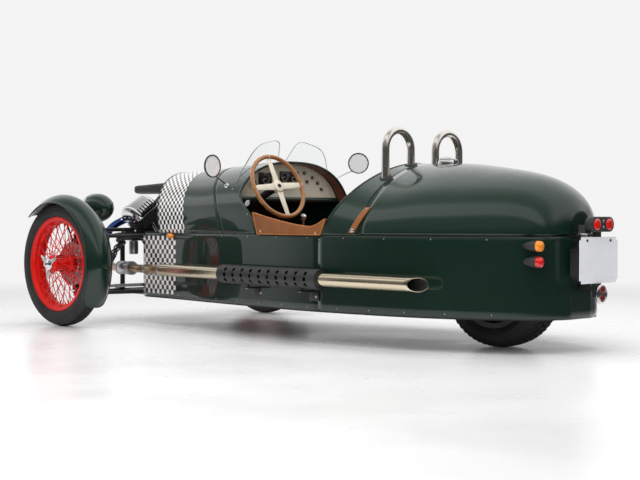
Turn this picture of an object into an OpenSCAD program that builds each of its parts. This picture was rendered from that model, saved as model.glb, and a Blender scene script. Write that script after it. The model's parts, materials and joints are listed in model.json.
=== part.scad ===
// Open two-seat three-wheeled car: two wire wheels and an exposed V-twin in front,
// one driven wheel inside a boat-shaped tail. Millimetres, +X the car's left,
// +Y its rear, +Z up, origin on the ground at the middle of its length.

/* [Wheels] */
// Overall length, front tyres to the lamps behind the tail
overall_l = 3330; // [3320:2:3360]
// Distance between the centre planes of the front wheels
track = 1500; // [1480:2:1540]
// Distance from the front axle to the rear axle
wheelbase = 2440; // [2420:2:2450]
// Outer radius of a front tyre
front_tyre_r = 340; // [330:1:346]
// Width of a front tyre
front_tyre_w = 104; // [96:1:112]
// Flange radius of a front rim
front_rim_r = 258; // [250:1:264]
// Width of a front rim over its flanges
front_rim_w = 90; // [84:1:94]
// Spokes that lean one way on one side of a front wheel
spokes_per_set = 18; // [10:1:20]
// Radius of a spoke
spoke_r = 2.4; // [2:0.1:3]
// Outer radius of the rear tyre
rear_tyre_r = 300; // [290:1:306]
// Width of the rear tyre
rear_tyre_w = 175; // [165:1:185]
// Flange radius of the rear rim
rear_rim_r = 212; // [206:1:218]

/* [Body] */
// Height of the flat underside
floor_z = 149; // [140:1:156]
// Height of the seam between the lower sides and the upper panels
waist_z = 512; // [505:1:520]
// Thickness of the lower side walls
wall = 12; // [8:0.5:14]
// Thickness of the upper panels
skin = 5; // [3:0.5:6]
// Where the bonnet starts, at the waist
bonnet_front = -1025; // [-1060:1:-1000]
// How far the bonnet's front edge leans forward at the crest
bonnet_lean = 120; // [90:1:140]
// Where bonnet and scuttle meet, at the waist
scuttle_front = -370; // [-390:1:-350]
// How far that seam leans forward at the crest
scuttle_lean = 270; // [240:1:290]
// Front edge of the cockpit over the crest
cockpit_front = -270; // [-280:1:-250]
// How far the scuttle sweeps back at the waist
scuttle_sweep = 195; // [180:1:200]
// Rear edge of the cockpit at the waist
cockpit_rear = 440; // [430:1:446]
// How far that edge moves back at the crest
cowl_sweep = 155; // [140:1:160]
// Front edge of the tail lid
lid_front = 672; // [668:1:690]
// Gap round the tail lid
lid_gap = 5; // [4:0.5:8]

/* [Engine] */
// Middle of the engine, front to rear
engine_y = -1355; // [-1365:1:-1350]
// Height of the crankshaft
crank_z = 360; // [356:1:370]
// Angle of each cylinder from upright
vee_half = 36; // [35:0.5:38]
// Fins on one cylinder barrel
fins = 11; // [8:1:12]
// Radius of a barrel's fins
fin_r = 84; // [78:1:86]

/* [Exhaust] */
// Height of the side pipes
pipe_z = 311; // [300:1:320]
// Radius of the side pipes
pipe_r = 32; // [28:0.5:34]
// Radius of the perforated shields
shield_r = 48; // [44:0.5:50]
// Holes along one row of a shield
shield_holes = 10; // [8:1:12]

/* [Cockpit] */
// Diameter of the steering wheel
steering_d = 360; // [330:2:370]
// Tilt of the steering wheel from upright, degrees
column_tilt = 23; // [20:1:28]
// Width of the transmission tunnel
tunnel_w = 150; // [130:2:160]
// Height of the transmission tunnel
tunnel_h = 190; // [170:2:200]
// Radius of a roll hoop's tube
hoop_r = 19; // [16:0.5:20]
// Height of the roll hoops' tops
hoop_top = 1027; // [1000:1:1050]

/* [Lamps] */
// Diameter of a headlamp
lamp_d = 164; // [150:2:170]
// Height of the headlamps' centres
lamp_z = 650; // [640:1:655]
// Distance of each headlamp from the middle
lamp_x = 500; // [490:1:510]
// Width of the number plate
plate_w = 290; // [270:1:310]
// Height of the number plate
plate_h = 200; // [190:1:204]
// Spacing of the number plate's two holes
plate_hole_spacing = 178; // [160:1:190]
// Radius of the number plate's holes
plate_hole_r = 3.5; // [2.5:0.1:4]

/* [Hidden] */
$fn = 48;

// Clearances: seated pieces, running shafts, pieces that pass each other
seat_gap = 0.3;
run_gap = 0.05;
pass_gap = 1;
// How much an elbow is fuller than its bar
elbow = 0.6;

// Axles
front_axle_y = front_tyre_r - overall_l / 2;
rear_axle_y = front_axle_y + wheelbase;
front_z = front_tyre_r;
rear_z = rear_tyre_r;
wheel_x = track / 2;

// Body stations: place along the length, half width at the waist, crest height, squareness
STATION = 0;
HALF_W = 1;
CREST = 2;
SQUARE = 3;
sections = [
    [-1195, 300, 855, 2.3],
    [-805, 350, 868, 2.4],
    [-450, 406, 886, 2.5],
    [-105, 455, 890, 2.5],
    [291, 499, 874, 2.2],
    [640, 497, 856, 1.75],
    [940, 470, 846, 1.8],
    [1150, 415, 821, 1.85],
    [1300, 352, 795, 1.9],
    [1395, 300, 765, 1.95],
    [1470, 235, 722, 2],
    [1520, 150, 673, 2.1],
    [1545, 75, 622, 2.2]
];
body_front = sections[0][STATION];
tail_y = sections[len(sections) - 1][STATION];
last_row = len(sections) - 1;

function row_at(y, i = 0) = i >= last_row - 1 || y < sections[i + 1][STATION] ? i : row_at(y, i + 1);
function slope(i, k) =
    let (a = max(i - 1, 0), b = min(i + 1, last_row))
    (sections[b][k] - sections[a][k]) / (sections[b][STATION] - sections[a][STATION]);
// Smooth value of column k of the table at place y
function shape(y, k) =
    let (
        i = row_at(y),
        h = sections[i + 1][STATION] - sections[i][STATION],
        t = (y - sections[i][STATION]) / h
    )
    (2 * t ^ 3 - 3 * t ^ 2 + 1) * sections[i][k] + (t ^ 3 - 2 * t ^ 2 + t) * h * slope(i, k)
    + (3 * t ^ 2 - 2 * t ^ 3) * sections[i + 1][k] + (t ^ 3 - t ^ 2) * h * slope(i + 1, k);
function half_w(y) = shape(y, HALF_W);

// Point of the upper body at place y and angle a (0 left waist, 90 crest), moved out by d
function power(v, n) = sign(v) * abs(v) ^ (2 / n);
function body_xz(y, a, d = 0) =
    let (n = shape(y, SQUARE))
    [
        (half_w(y) + d) * power(cos(a), n),
        waist_z + (shape(y, CREST) + d - waist_z) * power(sin(a), n)
    ];
function body_point(y, a, d = 0) = let (p = body_xz(y, a, d)) [p[0], y, p[1]];
// Angle at which the section at y reaches height z
function angle_at(y, z) =
    asin(min(1, ((z - waist_z) / (shape(y, CREST) - waist_z)) ^ (shape(y, SQUARE) / 2)));
// Height of the upper body over the point x, y
function body_z(x, y) =
    let (n = shape(y, SQUARE))
    waist_z + (shape(y, CREST) - waist_z) * (1 - (abs(x) / half_w(y)) ^ n) ^ (1 / n);

function mix(a, b, t) = a + (b - a) * t;
function smooth(t) = let (u = max(0, min(1, t))) 3 * u ^ 2 - 2 * u ^ 3;
function unit(v) = v / norm(v);

// Small tools

// Round bar from point a to point b
module rod(a, b, r) {
    d = b - a;
    translate(a) rotate([0, acos(d[2] / norm(d)), atan2(d[1], d[0])]) cylinder(h = norm(d), r = r);
}

// Round bar through a list of points, with elbows a little fuller than the bar
module bar(points, r) {
    for (i = [1:len(points) - 1]) rod(points[i - 1], points[i], r);
    for (i = [1:1:len(points) - 2]) translate(points[i]) sphere(r = r + elbow);
}

// A piece made for the left, on the side asked for
module sided(side) {
    if (side > 0) children();
    else mirror([1, 0, 0]) children();
}

module both() {
    for (side = [1, -1]) sided(side) children();
}

// Turns a piece made about Z to an axle along X, or to the car's length
module along_x() { rotate([0, 90, 0]) children(); }
module along_y() { rotate([-90, 0, 0]) children(); }

// Closed skin between two grids of points, rows of equal length, outer and inner
module shell(outer, inner) {
    rows = len(outer);
    cols = len(outer[0]);
    all = concat([for (r = outer) each r], [for (r = inner) each r]);
    in = rows * cols;
    function at(i, j) = i * cols + j;
    faces = [
        for (i = [0:rows - 2], j = [0:cols - 2]) each [
            [at(i, j), at(i + 1, j), at(i + 1, j + 1)],
            [at(i, j), at(i + 1, j + 1), at(i, j + 1)],
            [in + at(i, j), in + at(i + 1, j + 1), in + at(i + 1, j)],
            [in + at(i, j), in + at(i, j + 1), in + at(i + 1, j + 1)]
        ],
        for (i = [0:rows - 2]) each [
            [at(i, 0), in + at(i + 1, 0), at(i + 1, 0)],
            [at(i, 0), in + at(i, 0), in + at(i + 1, 0)],
            [at(i, cols - 1), at(i + 1, cols - 1), in + at(i + 1, cols - 1)],
            [at(i, cols - 1), in + at(i + 1, cols - 1), in + at(i, cols - 1)]
        ],
        for (j = [0:cols - 2]) each [
            [at(0, j), at(0, j + 1), in + at(0, j + 1)],
            [at(0, j), in + at(0, j + 1), in + at(0, j)],
            [at(rows - 1, j), in + at(rows - 1, j + 1), at(rows - 1, j + 1)],
            [at(rows - 1, j), in + at(rows - 1, j), in + at(rows - 1, j + 1)]
        ]
    ];
    polyhedron(all, faces);
}

// Upper panel between two edges given as places along the length for each angle
module panel(front, rear, from = 0, to = 180, out = 0, inner = -skin, rows = 5, cols = 28) {
    function grid(d) = [
        for (i = [0:rows]) [
            for (j = [0:cols])
                let (a = mix(from, to, j / cols))
                body_point(mix(front(a), rear(a), i / rows), a, d)
        ]
    ];
    shell(grid(out), grid(inner));
}

// Plan outline of the body between two places, moved in by d, with closer steps round the tail
plan_places = [each [body_front:45:1250], each [1265:15:tail_y - 5]];
function plan_edge(from, to, d) = [
    for (y = [from, for (y = plan_places) if (y > from && y < to) y, to]) [half_w(y) - d, y]
];
module plan(from, to, d) {
    edge = plan_edge(from, to, d);
    polygon(concat(edge, [for (i = [len(edge) - 1:-1:0]) [-edge[i][0], edge[i][1]]]));
}

// Chassis and floor

rail_x = 240;
rail_r = 16;
post_r = 14;
floor_t = 6;
floor_front = -900;
rail_z = floor_z + floor_t + rail_r + seat_gap;
upper_rail_z = 478;
leg_front = front_axle_y - 150;
leg_rear = front_axle_y + 95;
rail_front = leg_front - 40;
bay_rear = bonnet_front + 60;
frame_rear = 634;
cross_r = 12;
cross_z = 320;
cross_half = 292;
lower_ball_z = front_z - 165;
upper_ball_z = front_z + 152;
king_x = wheel_x - 95;
king_r = 12;
eye_r = 24;
eye_h = 28;
leg_r = 11;
bush_r = 14;
bush_l = 40;
bush_x = rail_x + rail_r + bush_r + seat_gap;
lug_t = 5;
arm_l = 113;
rack_y = front_axle_y + arm_l;
rack_z = lower_ball_z + 40;
rack_r = 15;
rack_bar_r = 9;
rack_half = rail_x + 30;
damper_eye_r = 14;
damper_eye_l = 30;
damper_low = [wheel_x - 195, front_axle_y, lower_ball_z + 10 + damper_eye_r + seat_gap];
damper_top = [rail_x + 90, front_axle_y, upper_rail_z + 24];
lamp_bar_y = front_axle_y - 50;
lamp_bar_r = 11;
lamp_bar_z = upper_ball_z + 34;
pivot_y = frame_rear + 66;
pivot_half = 150;
pivot_r = 20;
pivot_pin_r = 12;
tow_eye_y = rail_front - 24;
tow_eye_r = 9;
tow_eye_t = 12;

// Bracket on a post that holds one bush of a wishbone
module bush_lugs(y, z) {
    half = bush_l / 2 + seat_gap;
    translate([rail_x + 2, y - half - lug_t, z - bush_r - 2])
        cube([rail_r - 2, bush_l + 2 * (seat_gap + lug_t), 2 * bush_r + 4]);
    for (s = [-1, 1])
        translate([rail_x + 2, y + s * (half + lug_t / 2) - lug_t / 2, z - bush_r])
            cube([bush_x - rail_x, lug_t, 2 * bush_r]);
}

// Plates on the upper rail that hold a damper's upper eye
module damper_lugs() {
    half = damper_eye_l / 2 + seat_gap;
    for (s = [-1, 1])
        translate([rail_x, front_axle_y + s * (half + lug_t / 2) - lug_t / 2, upper_rail_z])
            cube([damper_top[0] - rail_x + damper_eye_r, lug_t, damper_top[2] - upper_rail_z + damper_eye_r]);
}

// Plates behind the cross tube that hold the swingarm's pivot
module pivot_lugs() {
    translate([pivot_half + seat_gap, frame_rear, rear_z - 25]) cube([12, pivot_y - frame_rear + 25, 50]);
}

// Towing eye, with a saddle that is bolted to the front cross tube
module tow_eye() color("dimgray") difference() {
    union() {
        translate([0, tow_eye_y, rail_z]) cylinder(h = tow_eye_t, r = 2.3 * tow_eye_r, center = true);
        translate([-12, tow_eye_y, rail_z - tow_eye_t / 2])
            cube([24, rail_front - tow_eye_y + post_r, tow_eye_t]);
    }
    translate([0, tow_eye_y, rail_z]) cylinder(h = 2 * tow_eye_t, r = tow_eye_r, center = true);
    rod([-rail_x, rail_front + post_r, rail_z], [rail_x, rail_front + post_r, rail_z], cross_r + seat_gap);
}

module chassis_frame() color("dimgray") difference() {
    union() {
        both() {
            rod([rail_x, rail_front, rail_z], [rail_x, frame_rear, rail_z], rail_r);
            rod([rail_x, rail_front, upper_rail_z], [rail_x, bay_rear, upper_rail_z], rail_r);
            for (y = [leg_front, leg_rear, bay_rear - post_r])
                rod([rail_x, y, rail_z], [rail_x, y, upper_rail_z], post_r);
            for (y = [leg_front, leg_rear], z = [lower_ball_z, upper_ball_z]) bush_lugs(y, z);
            damper_lugs();
            bar([[rail_x, lamp_bar_y, upper_rail_z], [rail_x, lamp_bar_y, lamp_bar_z],
                 [lamp_x, lamp_bar_y, lamp_bar_z],
                 [lamp_x, lamp_bar_y, lamp_z - lamp_d / 2 - seat_gap]], lamp_bar_r);
            rod([rail_x, frame_rear, rail_z], [rail_x, frame_rear, cross_z], post_r);
            rod([rail_x, rack_y, rail_z], [rail_x, rack_y, rack_z], rack_r - 3);
            pivot_lugs();
        }
        for (y = [rail_front + post_r, engine_y, bay_rear - post_r, scuttle_front, frame_rear])
            rod([-rail_x, y, rail_z], [rail_x, y, rail_z], cross_r);
        translate([-50, engine_y - 20, rail_z]) cube([100, 40, crank_z - case_r - seat_gap - rail_z]);
        rod([-cross_half, frame_rear, cross_z], [cross_half, frame_rear, cross_z], hoop_r);
        rod([-rack_half, rack_y, rack_z], [rack_half, rack_y, rack_z], rack_r);
    }
    rod([-2 * rack_half, rack_y, rack_z], [2 * rack_half, rack_y, rack_z], rack_bar_r + run_gap);
    translate([0, pivot_y, rear_z]) along_x()
        cylinder(h = 4 * pivot_half, r = pivot_pin_r + run_gap, center = true);
}

tunnel_front = -320;
tunnel_rear = 560;
tyre_room = 40;
wheel_slot_half = rear_tyre_w / 2 + 37;

module floor_pan() color("darkslategray") {
    difference() {
        translate([0, 0, floor_z]) linear_extrude(floor_t)
            plan(floor_front, tail_y - wall - seat_gap, wall + seat_gap);
        translate([-wheel_slot_half, rear_axle_y - rear_tyre_r - tyre_room, floor_z - 1])
            cube([2 * wheel_slot_half, 2 * (rear_tyre_r + tyre_room), floor_t + 2]);
    }
    translate([-tunnel_w / 2, tunnel_front, floor_z + floor_t])
        cube([tunnel_w, tunnel_rear - tunnel_front, tunnel_h]);
}

// Body panels

module body_sides() color("#12291f") translate([0, 0, floor_z]) linear_extrude(waist_z - floor_z)
    difference() {
        plan(body_front, tail_y, 0);
        plan(body_front, tail_y - wall, wall);
    }

module bonnet() color("#12291f") panel(
    function (a) bonnet_front - bonnet_lean * sin(a),
    function (a) scuttle_front - scuttle_lean * sin(a) - pass_gap
);

module scuttle() color("#12291f") panel(
    function (a) scuttle_front - scuttle_lean * sin(a),
    function (a) cockpit_front + scuttle_sweep * (1 - smooth(sin(a) * 2))
);

hoop_x = 180;
hoop_half = 90;
hoop_y = frame_rear;
hoop_gap = 0.5;

// Both hoops as bars of radius r
module hoops(r) for (s = [-1, 1]) translate([s * hoop_x, hoop_y, 0]) {
    bend_z = hoop_top - hoop_r - hoop_half;
    foot_z = cross_z + hoop_r + seat_gap;
    for (t = [-1, 1]) rod([t * hoop_half, 0, foot_z], [t * hoop_half, 0, bend_z], r);
    translate([0, 0, bend_z]) rotate([90, 0, 0]) rotate_extrude(angle = 180)
        translate([hoop_half, 0]) circle(r);
}

module rear_cowl() color("#12291f") difference() {
    panel(function (a) cockpit_rear + cowl_sweep * sin(a), function (a) lid_front - lid_gap, rows = 4);
    hoops(hoop_r + hoop_gap);
}

module roll_hoops() color("silver") hoops(hoop_r);

bulkhead_y = -720;
bulkhead_t = 5;
gearbox_r = 84;

module bulkhead() color("gray") difference() {
    inset = wall + seat_gap;
    steps = 32;
    translate([0, bulkhead_y + bulkhead_t, 0]) rotate([90, 0, 0]) linear_extrude(bulkhead_t) polygon(concat(
        [[half_w(bulkhead_y) - inset, rail_z + rail_r + 14]],
        [for (i = [0:steps]) body_xz(bulkhead_y, 180 * i / steps, -inset)],
        [[inset - half_w(bulkhead_y), rail_z + rail_r + 14]]
    ));
    translate([0, bulkhead_y - bulkhead_t, crank_z]) along_y()
        cylinder(h = 4 * bulkhead_t, r = gearbox_r + seat_gap);
}

// Cockpit

screen_t = 4;
screen_bend = 450;
screen_y = -380;
screen_mid = 80;
screen_in = 25;
screen_out = 345;
screen_rake = 31;
screen_lift = 1;
screen_reach = 200;
screen_z = body_z(screen_mid, screen_y);
// Upper corners of a pane, inner and outer
screen_top_in = [screen_in + 41, screen_z + 127];
screen_top_out = [screen_out - 95, screen_z + 82];

// How far the pane bends back at x, its place at height z, and the height of its foot on the scuttle
function screen_back(x) = screen_bend - sqrt(screen_bend ^ 2 - (x - screen_mid) ^ 2);
function screen_place(x, z) =
    screen_y + screen_back(x) / cos(screen_rake) + (z - screen_z) * tan(screen_rake);
function screen_foot(x, z = screen_z, turns = 4) =
    turns == 0 ? z + screen_lift : screen_foot(x, body_z(x, screen_place(x, z)), turns - 1);
// Rounded corner at p between its neighbours a and b
function bend(a, p, b) = [
    for (t = [0:0.2:1]) mix(mix(mix(p, a, 0.35), p, t), mix(p, mix(p, b, 0.35), t), t)
];

// Outline of a pane from the front: its foot follows the scuttle, its upper corners are round
module screen_outline() {
    steps = 28;
    foot = [for (i = [0:steps]) let (x = mix(screen_in, screen_out, i / steps)) [x, screen_foot(x)]];
    polygon(concat(
        foot,
        bend(foot[steps], screen_top_out, screen_top_in),
        bend(screen_top_out, screen_top_in, foot[0])
    ));
}
module aero_screens() color("lightcyan", 0.4) both() intersection() {
    translate([screen_mid, screen_y, screen_z]) rotate([-screen_rake, 0, 0])
        translate([0, screen_bend, -screen_bend]) difference() {
            cylinder(h = 2 * screen_bend, r = screen_bend + screen_t, $fn = 180);
            translate([0, 0, -1]) cylinder(h = 2 * screen_bend + 2, r = screen_bend, $fn = 180);
        }
    translate([0, screen_y + screen_reach, 0]) rotate([90, 0, 0])
        linear_extrude(2 * screen_reach) screen_outline();
}

dash_y = -345;
dash_t = 8;
dash_bottom = 690;
wheel_hub = [220, -162, 755];
column_r = 19;
shaft_r = 12;
column_l = 420;

// Places a piece made about +Z on the steering column, +Z towards the driver
module on_column() { translate(wheel_hub) rotate([column_tilt - 90, 0, 0]) children(); }

module dashboard() color("beige") difference() {
    steps = 28;
    low = angle_at(dash_y, dash_bottom);
    translate([0, dash_y + dash_t, 0]) rotate([90, 0, 0]) linear_extrude(dash_t)
        polygon([for (i = [0:steps]) body_xz(dash_y, mix(low, 180 - low, i / steps), -skin - pass_gap)]);
    on_column() translate([0, 0, -column_l]) cylinder(h = column_l, r = column_r + seat_gap);
}

module steering_column() color("black") on_column() translate([0, 0, -column_l]) difference() {
    cylinder(h = column_l - 40, r = column_r);
    translate([0, 0, 40]) cylinder(h = column_l, r = shaft_r + run_gap);
}

rim_tube_r = 12;
hub_r = 34;
arm_w = 30;
arm_t = 4;

module steering_wheel() color("peru") on_column() {
    ring_r = steering_d / 2 - rim_tube_r;
    rotate_extrude() translate([ring_r, 0]) circle(rim_tube_r);
    for (a = [0:90:270]) rotate(a + 4) translate([0, -arm_w / 2, -arm_t / 2]) cube([ring_r, arm_w, arm_t]);
    translate([0, 0, -14]) cylinder(h = 26, r = hub_r);
    translate([0, 0, 60 - column_l]) cylinder(h = column_l - 60, r = shaft_r);
}

cushion_front = -60;
cushion_rear = 425;
cushion_bottom = rail_z + rail_r + seat_gap;
cushion_t = 108;
cushion_out = 395;
back_t = 85;
back_top = 640;
back_lean = 12;

module seat_cushions() color("saddlebrown") both()
    translate([tunnel_w / 2 + 8, cushion_front, cushion_bottom])
        cube([cushion_out - tunnel_w / 2 - 8, cushion_rear - cushion_front, cushion_t]);

module seat_backs() color("saddlebrown") both()
    translate([tunnel_w / 2 + 8, cushion_rear + seat_gap, cushion_bottom + back_t * sin(back_lean)])
        rotate([-back_lean, 0, 0])
            cube([cushion_out - tunnel_w / 2 - 8, back_t, (back_top - cushion_bottom) / cos(back_lean) - 20]);

pad_t = 30;
pad_proud = 3;
pad_front = -92;
pad_rear = cockpit_rear + 26;
pad_peak = 618;
pad_dip_y = 360;
pad_dip = 549;
pad_rise = 38;
pad_room = 30;

// Height of the pads' top edge at y, dipped for the elbows
function pad_top(y) = y < pad_dip_y
    ? pad_dip + (pad_peak - pad_dip) * ((pad_dip_y - y) / (pad_dip_y - pad_front)) ^ 1.3
    : pad_dip + pad_rise * ((y - pad_dip_y) / (pad_rear - pad_dip_y)) ^ 1.6;

// Padded rests on the cockpit sides
module elbow_pads() color("sienna") both() intersection() {
    translate([0, 0, waist_z + seat_gap]) linear_extrude(pad_peak - waist_z) difference() {
        plan(pad_front - pad_room, pad_rear + pad_room, -pad_proud);
        plan(pad_front - pad_room - 1, pad_rear + pad_room + 1, pad_t - pad_proud);
    }
    rotate([90, 0, 90]) linear_extrude(wheel_x) polygon(concat(
        [[pad_front + 40, waist_z], [cockpit_rear - 8, waist_z]],
        [for (t = [0:0.1:1]) let (y = mix(pad_rear, pad_front, t)) [y, pad_top(y)]]
    ));
}

lever_y = -205;
lever_top = 597;
knob_r = 19;

module gear_lever() color("silver") {
    base_z = floor_z + floor_t + tunnel_h + seat_gap;
    translate([0, lever_y, base_z]) cylinder(h = 40, r1 = 45, r2 = 20);
    rod([0, lever_y, base_z + 20], [0, lever_y, lever_top], 7);
    translate([0, lever_y, lever_top]) sphere(r = knob_r);
}

// Engine

case_r = 112;
case_front = engine_y - 95;
case_rear = engine_y + 105;
deck = 152;
deck_r = 74;
barrel_l = 112;
barrel_r = 62;
head_l = 62;
head_w = 156;
head_half = 70;
cover_l = 86;
cover_w = 164;
cover_front = 112;
cover_rear = 84;
cover_crown = 98;

// Places a piece made about +Z on a cylinder of the engine
module on_cylinder(side, up) {
    translate([0, engine_y, crank_z]) rotate([0, side * vee_half, 0]) translate([0, 0, up]) children();
}

module crankcase() color("silver") {
    translate([0, case_front, crank_z]) along_y() cylinder(h = case_rear - case_front, r = case_r);
    translate([0, case_front - 28, crank_z]) along_y() cylinder(h = 28, r1 = 70, r2 = 88);
    for (s = [-1, 1]) on_cylinder(s, 60) cylinder(h = deck - 60, r = deck_r);
}

module cylinders() color("#303030") for (s = [-1, 1]) on_cylinder(s, deck) {
    pitch = barrel_l / fins;
    rotate_extrude() polygon(concat(
        [[0, 0], [barrel_r, 0]],
        [for (i = [0:fins - 1]) each [
            [barrel_r, (i + 0.3) * pitch], [fin_r, (i + 0.35) * pitch],
            [fin_r, (i + 0.65) * pitch], [barrel_r, (i + 0.7) * pitch]
        ]],
        [[barrel_r, barrel_l], [0, barrel_l]]
    ));
    translate([-head_half, -head_w / 2, barrel_l]) cube([2 * head_half, head_w, head_l]);
}

module rocker_covers() color("gainsboro") for (s = [-1, 1]) on_cylinder(s, deck + barrel_l + head_l)
    intersection() {
        translate([-cover_w / 2, -cover_front, 0]) cube([cover_w, cover_front + cover_rear, cover_l]);
        translate([0, 0, cover_l - cover_crown]) along_y()
            cylinder(h = 3 * cover_front, r = cover_crown, center = true);
    }

intake_front = -1610;
intake_nose_r = 27;
intake_rear = bonnet_front - bonnet_lean + 60;
intake_z = 770;
intake_w = 150;
intake_h = 70;

runner_r = 26;
runner_ball_r = 44;
port_up = deck + barrel_l + head_l / 2;

// Air box over the engine, on a runner from the inner face of each cylinder head
module intake() color("black") {
    hull() for (s = [-1, 1]) {
        translate([s * (intake_w / 2 - 30), intake_front + intake_nose_r, intake_z - 8])
            sphere(r = intake_nose_r, $fn = 32);
        translate([s * (intake_w / 2 - 25), intake_rear - 25, intake_z]) sphere(r = intake_h / 2, $fn = 32);
    }
    reach = port_up * tan(vee_half);
    for (s = [-1, 1]) on_cylinder(s, port_up) rotate([0, -s * 90, 0]) translate([0, 0, head_half + seat_gap])
        cylinder(h = reach - head_half - 34, r = runner_r);
    translate([0, engine_y, crank_z + port_up / cos(vee_half)]) sphere(r = runner_ball_r);
}

bell_l = 150;
bell_r = 122;

module gearbox() color("slategray") {
    translate([0, case_rear, crank_z]) along_y() cylinder(h = bell_l, r1 = bell_r, r2 = gearbox_r);
    translate([0, case_rear + bell_l, crank_z]) along_y()
        cylinder(h = tunnel_front - pass_gap - case_rear - bell_l, r = gearbox_r);
}

// Exhaust

pipe_front = [408, -1010, pipe_z];
pipe_bend = [578, 530, pipe_z - 4];
pipe_end = [547, 1078, pipe_z - 10];
can_r = 38;
can_front = front_axle_y + 15;
can_rear = front_axle_y + 143;
slim_rear = can_rear + 162;
step_rear = slim_rear + 160;
down_r = 22;
head_front = engine_y - head_w / 2;
port_x = port_up * sin(vee_half);
port_z = crank_z + port_up * cos(vee_half);
function on_pipe(y) = mix(pipe_front, pipe_bend, (y - pipe_front[1]) / (pipe_bend[1] - pipe_front[1]));

module exhausts() color("#b89a5a") both() {
    tail = pipe_end - pipe_bend;
    difference() {
        union() {
            rod(on_pipe(step_rear - 12), pipe_bend, pipe_r);
            translate(pipe_bend) sphere(r = pipe_r + elbow);
            rod(pipe_bend, pipe_end + 0.1 * tail, pipe_r);
        }
        rod(pipe_bend + 0.3 * tail, pipe_end + 0.2 * tail, pipe_r - 3);
        translate(pipe_end) rotate(-45) translate([-100, 0, -100]) cube(200);
    }
    rod(on_pipe(slim_rear - 10), on_pipe(step_rear), pipe_r - 6);
    rod(on_pipe(can_rear - 8), on_pipe(slim_rear), down_r);
    rod(on_pipe(can_front), on_pipe(can_rear), can_r);
    bar([[port_x, head_front - seat_gap, port_z], [port_x, head_front - 50, port_z],
         [290, leg_front - 60, 520], [340, leg_front - 45, 390], [352, leg_front + 55, pipe_z + 7],
         on_pipe(can_front + 5)], down_r);
}

shield_front = -280;
shield_rear = 515;
shield_t = 2.5;
shield_hole_r = 11;
shield_wrap = 220;
shield_rows = [-35, 0, 35];
clamp_w = 8;

// Perforated trough outside each side pipe, held off it by a clamp at both ends
module heat_shields() color("#3a3a3a") both() {
    a = on_pipe(shield_front);
    d = on_pipe(shield_rear) - a;
    l = norm(d);
    pitch = l / (shield_holes + 1);
    translate(a) rotate([0, acos(d[2] / l), atan2(d[1], d[0])]) difference() {
        rotate(-90 - shield_wrap / 2) rotate_extrude(angle = shield_wrap) {
            translate([shield_r - shield_t, 0]) square([shield_t, l]);
            for (z = [0, l - clamp_w])
                translate([pipe_r + seat_gap, z]) square([shield_r - pipe_r - seat_gap, clamp_w]);
        }
        for (i = [1:shield_holes], t = shield_rows)
            rotate(t - 90) translate([shield_r - 10, 0, i * pitch]) along_x()
                cylinder(h = 20, r = shield_hole_r, $fn = 24);
    }
}

// Front suspension and steering

damper_seat_r = 10;

module wishbone(z, pad) difference() {
    ball = [king_x, front_axle_y, z];
    union() {
        translate(ball) cylinder(h = eye_h, r = eye_r, center = true);
        for (y = [leg_front, leg_rear]) {
            foot = [bush_x, y, z];
            rod(ball + 18 * unit(foot - ball), foot, leg_r);
            translate(foot) along_y() cylinder(h = bush_l, r = bush_r, center = true);
        }
        if (pad) {
            t = (king_x - damper_low[0]) / (king_x - bush_x);
            rod(mix(ball, [bush_x, leg_front, z], t), mix(ball, [bush_x, leg_rear, z], t), damper_seat_r);
        }
    }
    translate(ball) cylinder(h = 2 * eye_h, r = king_r + run_gap, center = true);
}

module wishbones() color("black") both() {
    wishbone(lower_ball_z, true);
    wishbone(upper_ball_z, false);
}

coil_r = 26;
coil_wire_r = 4.5;
coils = 8;

module dampers() color("dimgray") both() {
    d = damper_top - damper_low;
    for (p = [damper_low, damper_top])
        translate(p) along_y() cylinder(h = damper_eye_l, r = damper_eye_r, center = true);
    rod(damper_low, damper_top, 8);
    rod(damper_low + 0.1 * d, damper_low + 0.62 * d, 22);
    rod(damper_low + 0.84 * d, damper_low + 0.88 * d, 30);
    for (i = [0:coils - 1])
        translate(damper_low + (0.18 + 0.085 * i) * d) rotate([0, acos(d[2] / norm(d)), 0])
            rotate_extrude() translate([coil_r, 0]) circle(coil_wire_r, $fn = 16);
}

eye_rod_r = 13;
rod_eye_h = 17;

module tie_rods() color("gray") {
    rod([-king_x, rack_y, rack_z], [king_x, rack_y, rack_z], rack_bar_r - 1);
    rod([-king_x / 1.35, rack_y, rack_z], [king_x / 1.35, rack_y, rack_z], rack_bar_r);
    both() translate([king_x, rack_y, rack_z]) cylinder(h = rod_eye_h, r = eye_rod_r, center = true);
}

upright_in = 15;
upright_out = 21;
upright_w = 44;
spindle_r = 22;
hub_in = 54;
hub_out = 90;
disc_r = 120;
disc_in = 62;
disc_t = 8;
disc_gap = 2;
caliper_out = 44;
stay_r = 5;

module knuckle(side) color("black") sided(side) {
    low = lower_ball_z + eye_h / 2 + 4;
    high = upper_ball_z - eye_h / 2 - 4;
    translate([king_x - upright_in, front_axle_y - upright_w / 2, low])
        cube([upright_in + upright_out, upright_w, high - low]);
    rod([king_x, front_axle_y, lower_ball_z - 15], [king_x, front_axle_y, upper_ball_z + 15], king_r);
    rod([king_x, front_axle_y, front_z], [wheel_x + hub_out - 2, front_axle_y, front_z], spindle_r);
    arm_z = rack_z + rod_eye_h / 2 + pass_gap;
    translate([king_x - 12, front_axle_y, arm_z]) cube([24, arm_l, 12]);
    translate([king_x, rack_y, arm_z]) cylinder(h = 12, r = 14);
    difference() {
        translate([wheel_x - 84, front_axle_y - disc_r - 14, front_z - 45]) cube([84 - caliper_out, 56, 90]);
        rod([wheel_x - disc_in - disc_gap, front_axle_y, front_z],
            [wheel_x - disc_in + disc_t + disc_gap, front_axle_y, front_z], disc_r + 3);
    }
    translate([wheel_x - 84, front_axle_y - disc_r, front_z - 25]) cube([14, disc_r, 50]);
}

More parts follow.
